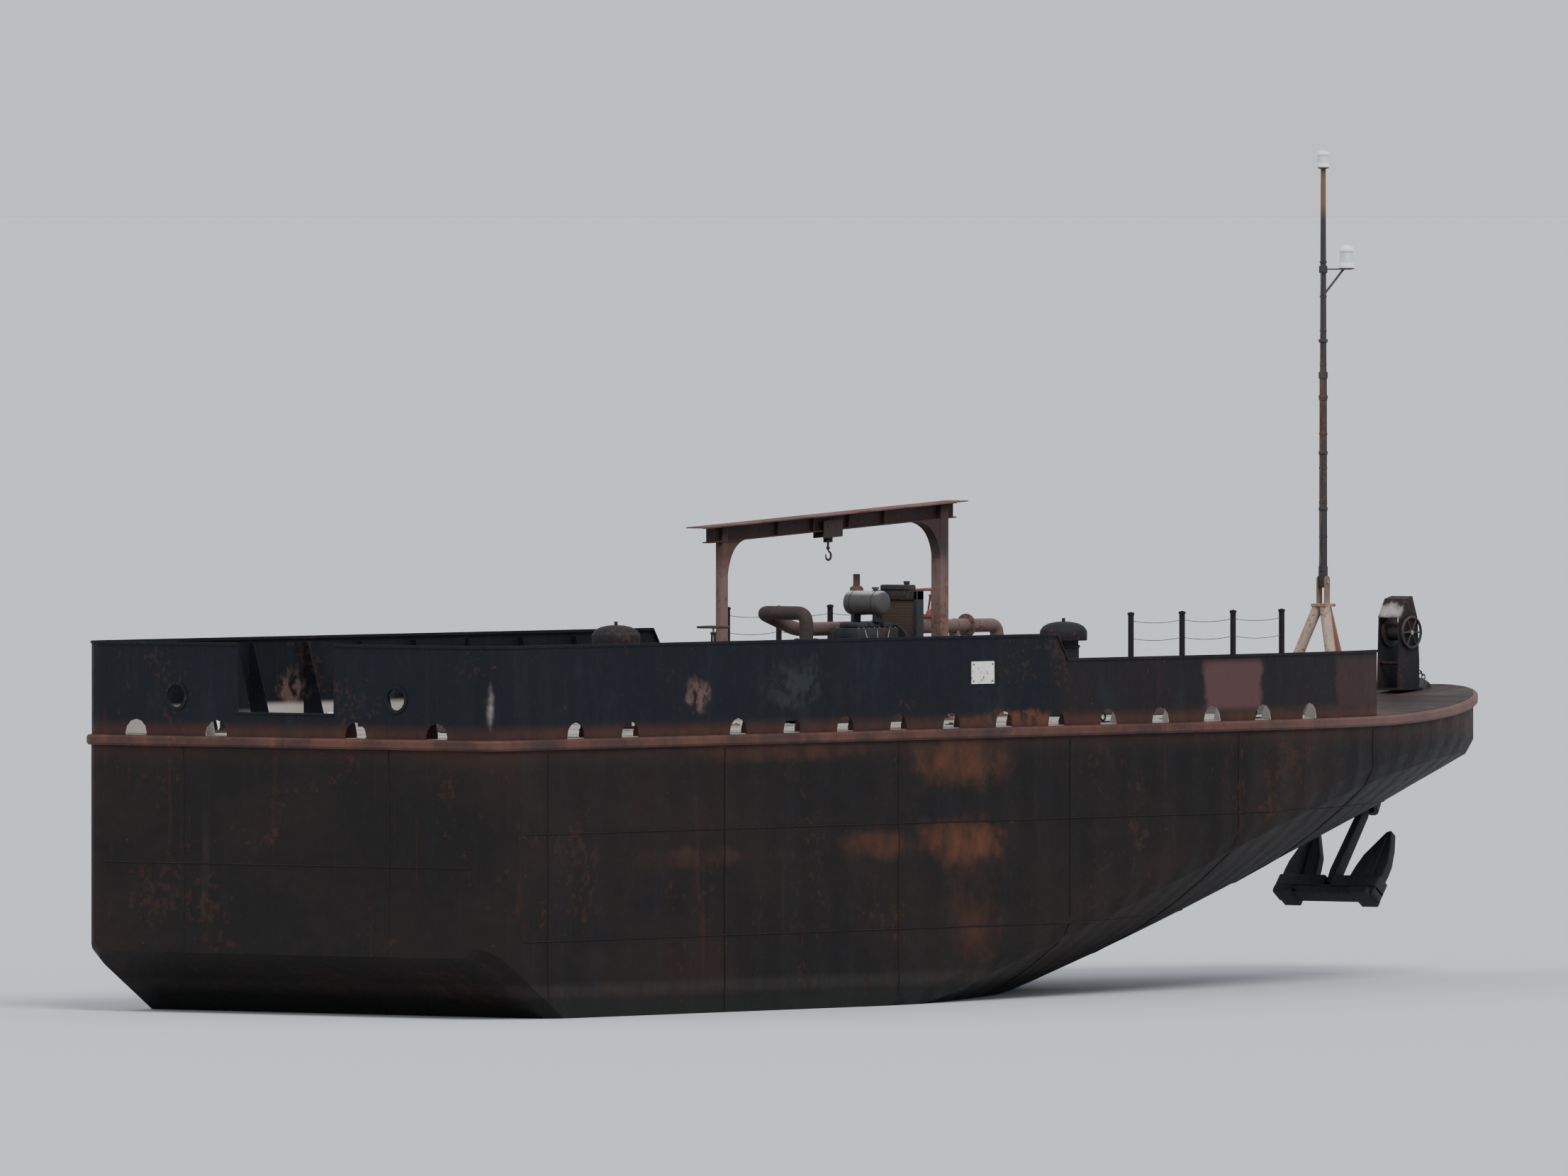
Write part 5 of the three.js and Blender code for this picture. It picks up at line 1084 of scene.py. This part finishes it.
# Lanterns: white moulded housings round a ribbed lens, with a domed hood on four thin rods. One
# stands on the masthead, and a larger one on the bracket below it.
lamp_white = Coat("lantern_white", (0.8, 0.8, 0.76), 0.35).weather(0.0, 30, 0.15, 0.12).done()
coat = Coat("lantern_lens", (0.7, 0.74, 0.74), 0.12)
ribs = coat.bands("Z", 26)
lens_glass = coat.rise(ribs, 0.002).layer((0.5, 0.55, 0.55), ribs, 0.5).done()
HOOD = ((0, 0.7), (0.94, 0.71), (1, 0.74), (0.99, 0.79), (0.88, 0.87), (0.62, 0.95), (0.3, 0.99), (0, 1))
LENS = ((0.8, 0.22), (0.82, 0.46), (0.8, 0.71))
for node, place, radius, height in (
    ("lantern_masthead", (MAST, 0, MAST_TOP), 0.07, 0.19),
    ("lantern_bracket", (MAST + 0.43, 0, BRACKET_Z + 0.002), 0.084, 0.26),
):
    lamp = Work(node + "_lamp", lamp_white, place)
    base = [(radius - 0.006, 0.0003), (radius, 0.006), (radius, height * 0.18),
            (radius * 0.94, height * 0.23), (0, height * 0.24)]
    lamp.turned((0, 0, 0), base, steps=44)
    lamp.turned((0, 0, 0), [(radius * a, height * b) for a, b in HOOD], steps=44)
    for x, y, _ in circle((0, 0, 0), radius * 0.9, 4, start=0.4):
        lamp.rod((x, y, height * 0.2), (x, y, height * 0.73), 0.004, steps=10)
    lamp.use(lens_glass)
    lamp.turned((0, 0, 0), [(radius * a, height * b) for a, b in LENS], steps=44)
    lamp.done("mast", "lantern_white", node)


# Windlass: two black plate cheeks, bolted down under a sheet hood with a pale painted highlight on
# its aft top. A spoked hand wheel turns the chain barrel between them.
WINDLASS = station(19.54)
DRUM_Z = 4.38521
WHEEL_Y = -0.178
coat = Coat("windlass_black", (0.0125, 0.0125, 0.015), 0.7, 0.1, gloss=0.2)
coat.weather(0.35, 34, 0.2, 0.4, 0.3)
# A pale patch on the hood's aft top is a painted highlight.
hood_painted_highlight = coat.patch((WINDLASS - 0.21, 0, 4.66), (0.14, 0.4, 0.15), 0.45, 8)
wear(coat.layer((0.42, 0.4, 0.36), hood_painted_highlight, 0.85).done(), "windlass_frame")
flange_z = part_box("windlass_frame")[0][2] + 0.0197
frame_bolts = [(WINDLASS + a, b * 0.172, flange_z) for a in (-0.2, 0.0, 0.17) for b in (-1, 1)]
frame_bolts += [((WINDLASS + a, side * 0.148, DRUM_Z + b), (0, side, 0))
                for a in (-0.1, 0.1) for b in (-0.12, 0.12) for side in (-1, 1)]
bolts("windlass_bolts", frame_bolts, 0.014)
barrel = Work("windlass_barrel", casting, (WINDLASS, 0, DRUM_Z))
for y in (-0.122, 0.1):
    barrel.turned((0, y, 0), [(0.155, 0), (0.165, 0.004), (0.165, 0.018), (0.155, 0.022)], ACROSS, 56)
barrel.rod((0, -0.11, 0), (0, 0.11, 0), 0.094, steps=48)
barrel.ring((0, WHEEL_Y, 0), 0.17, 0.0155, ACROSS, 56, 12)
rim = circle((0, WHEEL_Y, 0), 0.168, 6, ACROSS)
for spoke in zip(rim[:3], rim[3:]):
    barrel.rod(*spoke, 0.01, steps=14)
barrel.turned((0, -0.189, 0), [(0.034, 0), (0.036, 0.004), (0.036, 0.022), (0, 0.024)], ACROSS, 28)
barrel.use(bare_steel)
barrel.rod((0, -0.19, 0), (0, 0.17, 0), 0.0275, steps=32)
barrel.done("drum", "machine_paint", "windlass_drum")


# Hawse pipe and stockless anchor: castings worn by the chain and caked with dried river mud. The
# flukes and crown turn on a pin through the shank's foot.
coat = Coat("anchor_mud_black", (0.024, 0.024, 0.029), 0.8, gloss=0.25).weather(0.45, 28, 0.1, 0.2, 0.25)
coat.layer((0.055, 0.046, 0.038), coat.spots(0.6, 0.72, 5, EVEN, 7), 0.5)
mud_black = coat.rise(coat.grain(9), 0.01).done()
wear(casting, "hawse_pipe")
ANCHOR_PIN = Vector((8.1646, 0, 1.62))
HAWSE_SLOPE = 0.75
LEAN = Matrix.Rotation(math.atan(HAWSE_SLOPE), 4, "Y")
SHANK = 1.01
shank = Work("anchor_shank_forging", mud_black, ANCHOR_PIN, LEAN)
shank.plate([(-0.05, -0.03), (0.05, -0.03), (0.078, 0.14), (0.06, SHANK - 0.07), (0.03, SHANK),
             (-0.03, SHANK), (-0.06, SHANK - 0.07), (-0.078, 0.14)], (-0.048, 0.048), "y", 0.012, 3)
shank.rod((0, -0.15, 0), (0, 0.15, 0), 0.026, steps=32)
shank.done("barge", "cast_black", "anchor_shank")

FLUKE = ((0.23, 0.02), (0.69, 0.02), (0.697, 0.14), (0.69, 0.26), (0.63, 0.48),
         (0.54, 0.7), (0.48, 0.68), (0.395, 0.53), (0.3, 0.36), (0.255, 0.19))
RIB = ((0.42, 0.04), (0.56, 0.04), (0.535, 0.6), (0.515, 0.6))
flukes = Work("anchor_crown_and_flukes", mud_black, ANCHOR_PIN, LEAN)
for side in (-1, 1):
    flukes.block((-0.095, side * 0.056, -0.13), (0.095, side * 0.7, 0.06), 0.022, 3)
    flukes.plate([(side * y, z) for y, z in FLUKE], (-0.056, 0.056), "x", 0.018, 3)
    flukes.plate([(side * y, z) for y, z in RIB], (-0.078, 0.078), "x", 0.012, 2)
    flukes.block((-0.15, side * 0.42, -0.21), (0.15, side * 0.65, -0.13), 0.014, 3)
flukes.block((-0.095, -0.7, -0.19), (0.095, 0.7, -0.066), 0.022, 3)
flukes.done("anchor_flukes", "cast_black", "anchor_arms")


# Anchor chain: open forged links, each turned a quarter from the last, from the windlass barrel
# down the hawse pipe to the shank.
tree = Growth("chain_links", "Run", "Pitch", "Link Length", "Link Width", "Bar Radius")
given = tree.given
curve = tree.out("MeshToCurve", (given["Run"],))
places = tree.out("ResampleCurve", {"Curve": curve, "Length": given["Pitch"]}, mode="LENGTH")
tangent = tree.out("InputTangent")
align = tree.out("FunctionNodeAlignRotationToVector", {"Vector": tangent}, axis="X")
parity = tree.out("ShaderNodeMath", (tree.out("InputIndex"), 2), operation="MODULO")
turn = tree.out("ShaderNodeMath", (parity, math.pi / 2, math.pi / 4), operation="MULTIPLY_ADD")
roll = tree.out("FunctionNodeEulerToRotation", (tree.out("ShaderNodeCombineXYZ", (turn,)),))
way = tree.out("FunctionNodeRotateRotation", {"Rotation": align, "Rotate By": roll}, rotation_space="LOCAL")
sides = {"Width": given["Link Length"], "Height": given["Link Width"]}
oval = tree.out("CurvePrimitiveQuadrilateral", sides)
half = tree.out("ShaderNodeMath", (given["Link Width"], 0.499), operation="MULTIPLY")
oval = tree.out("FilletCurve", {"Curve": oval, "Count": 5, "Radius": half}, mode="POLY")
bar = tree.out("CurvePrimitiveCircle", {"Resolution": 8, "Radius": given["Bar Radius"]})
one = tree.out("CurveToMesh", {"Curve": oval, "Profile Curve": bar})
links = {"Points": places, "Instance": one, "Rotation": way}
chain_links = tree.done(tree.out("InstanceOnPoints", links))

coat = Coat("chain_rust", (0.026, 0.017, 0.014), 0.8, gloss=0.2).weather(0.5, 60, 0.1, 0.3, 0.3)
CHAIN = {"Pitch": 0.046, "Link Length": 0.058, "Link Width": 0.034, "Bar Radius": 0.0068, "Coat": coat.done()}
HAWSE_TOP = 3.892
run_x = WINDLASS + 0.095 + 0.0283
shank_top = ANCHOR_PIN.z + SHANK * math.cos(math.atan(HAWSE_SLOPE))
hawse = [(ANCHOR_PIN.x + HAWSE_SLOPE * (z - ANCHOR_PIN.z), 0, z) for z in (HAWSE_TOP, shank_top + 0.03)]
route = bent([(run_x, 0, DRUM_Z + 0.008), (run_x, 0, DRUM_Z - 0.32), *hawse], 0.06, 6)
run = lines_mesh("anchor_chain_run", [route])
chain = grown("anchor_chain_links", run, chain_links, CHAIN, "barge")
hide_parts("anchor_chain")
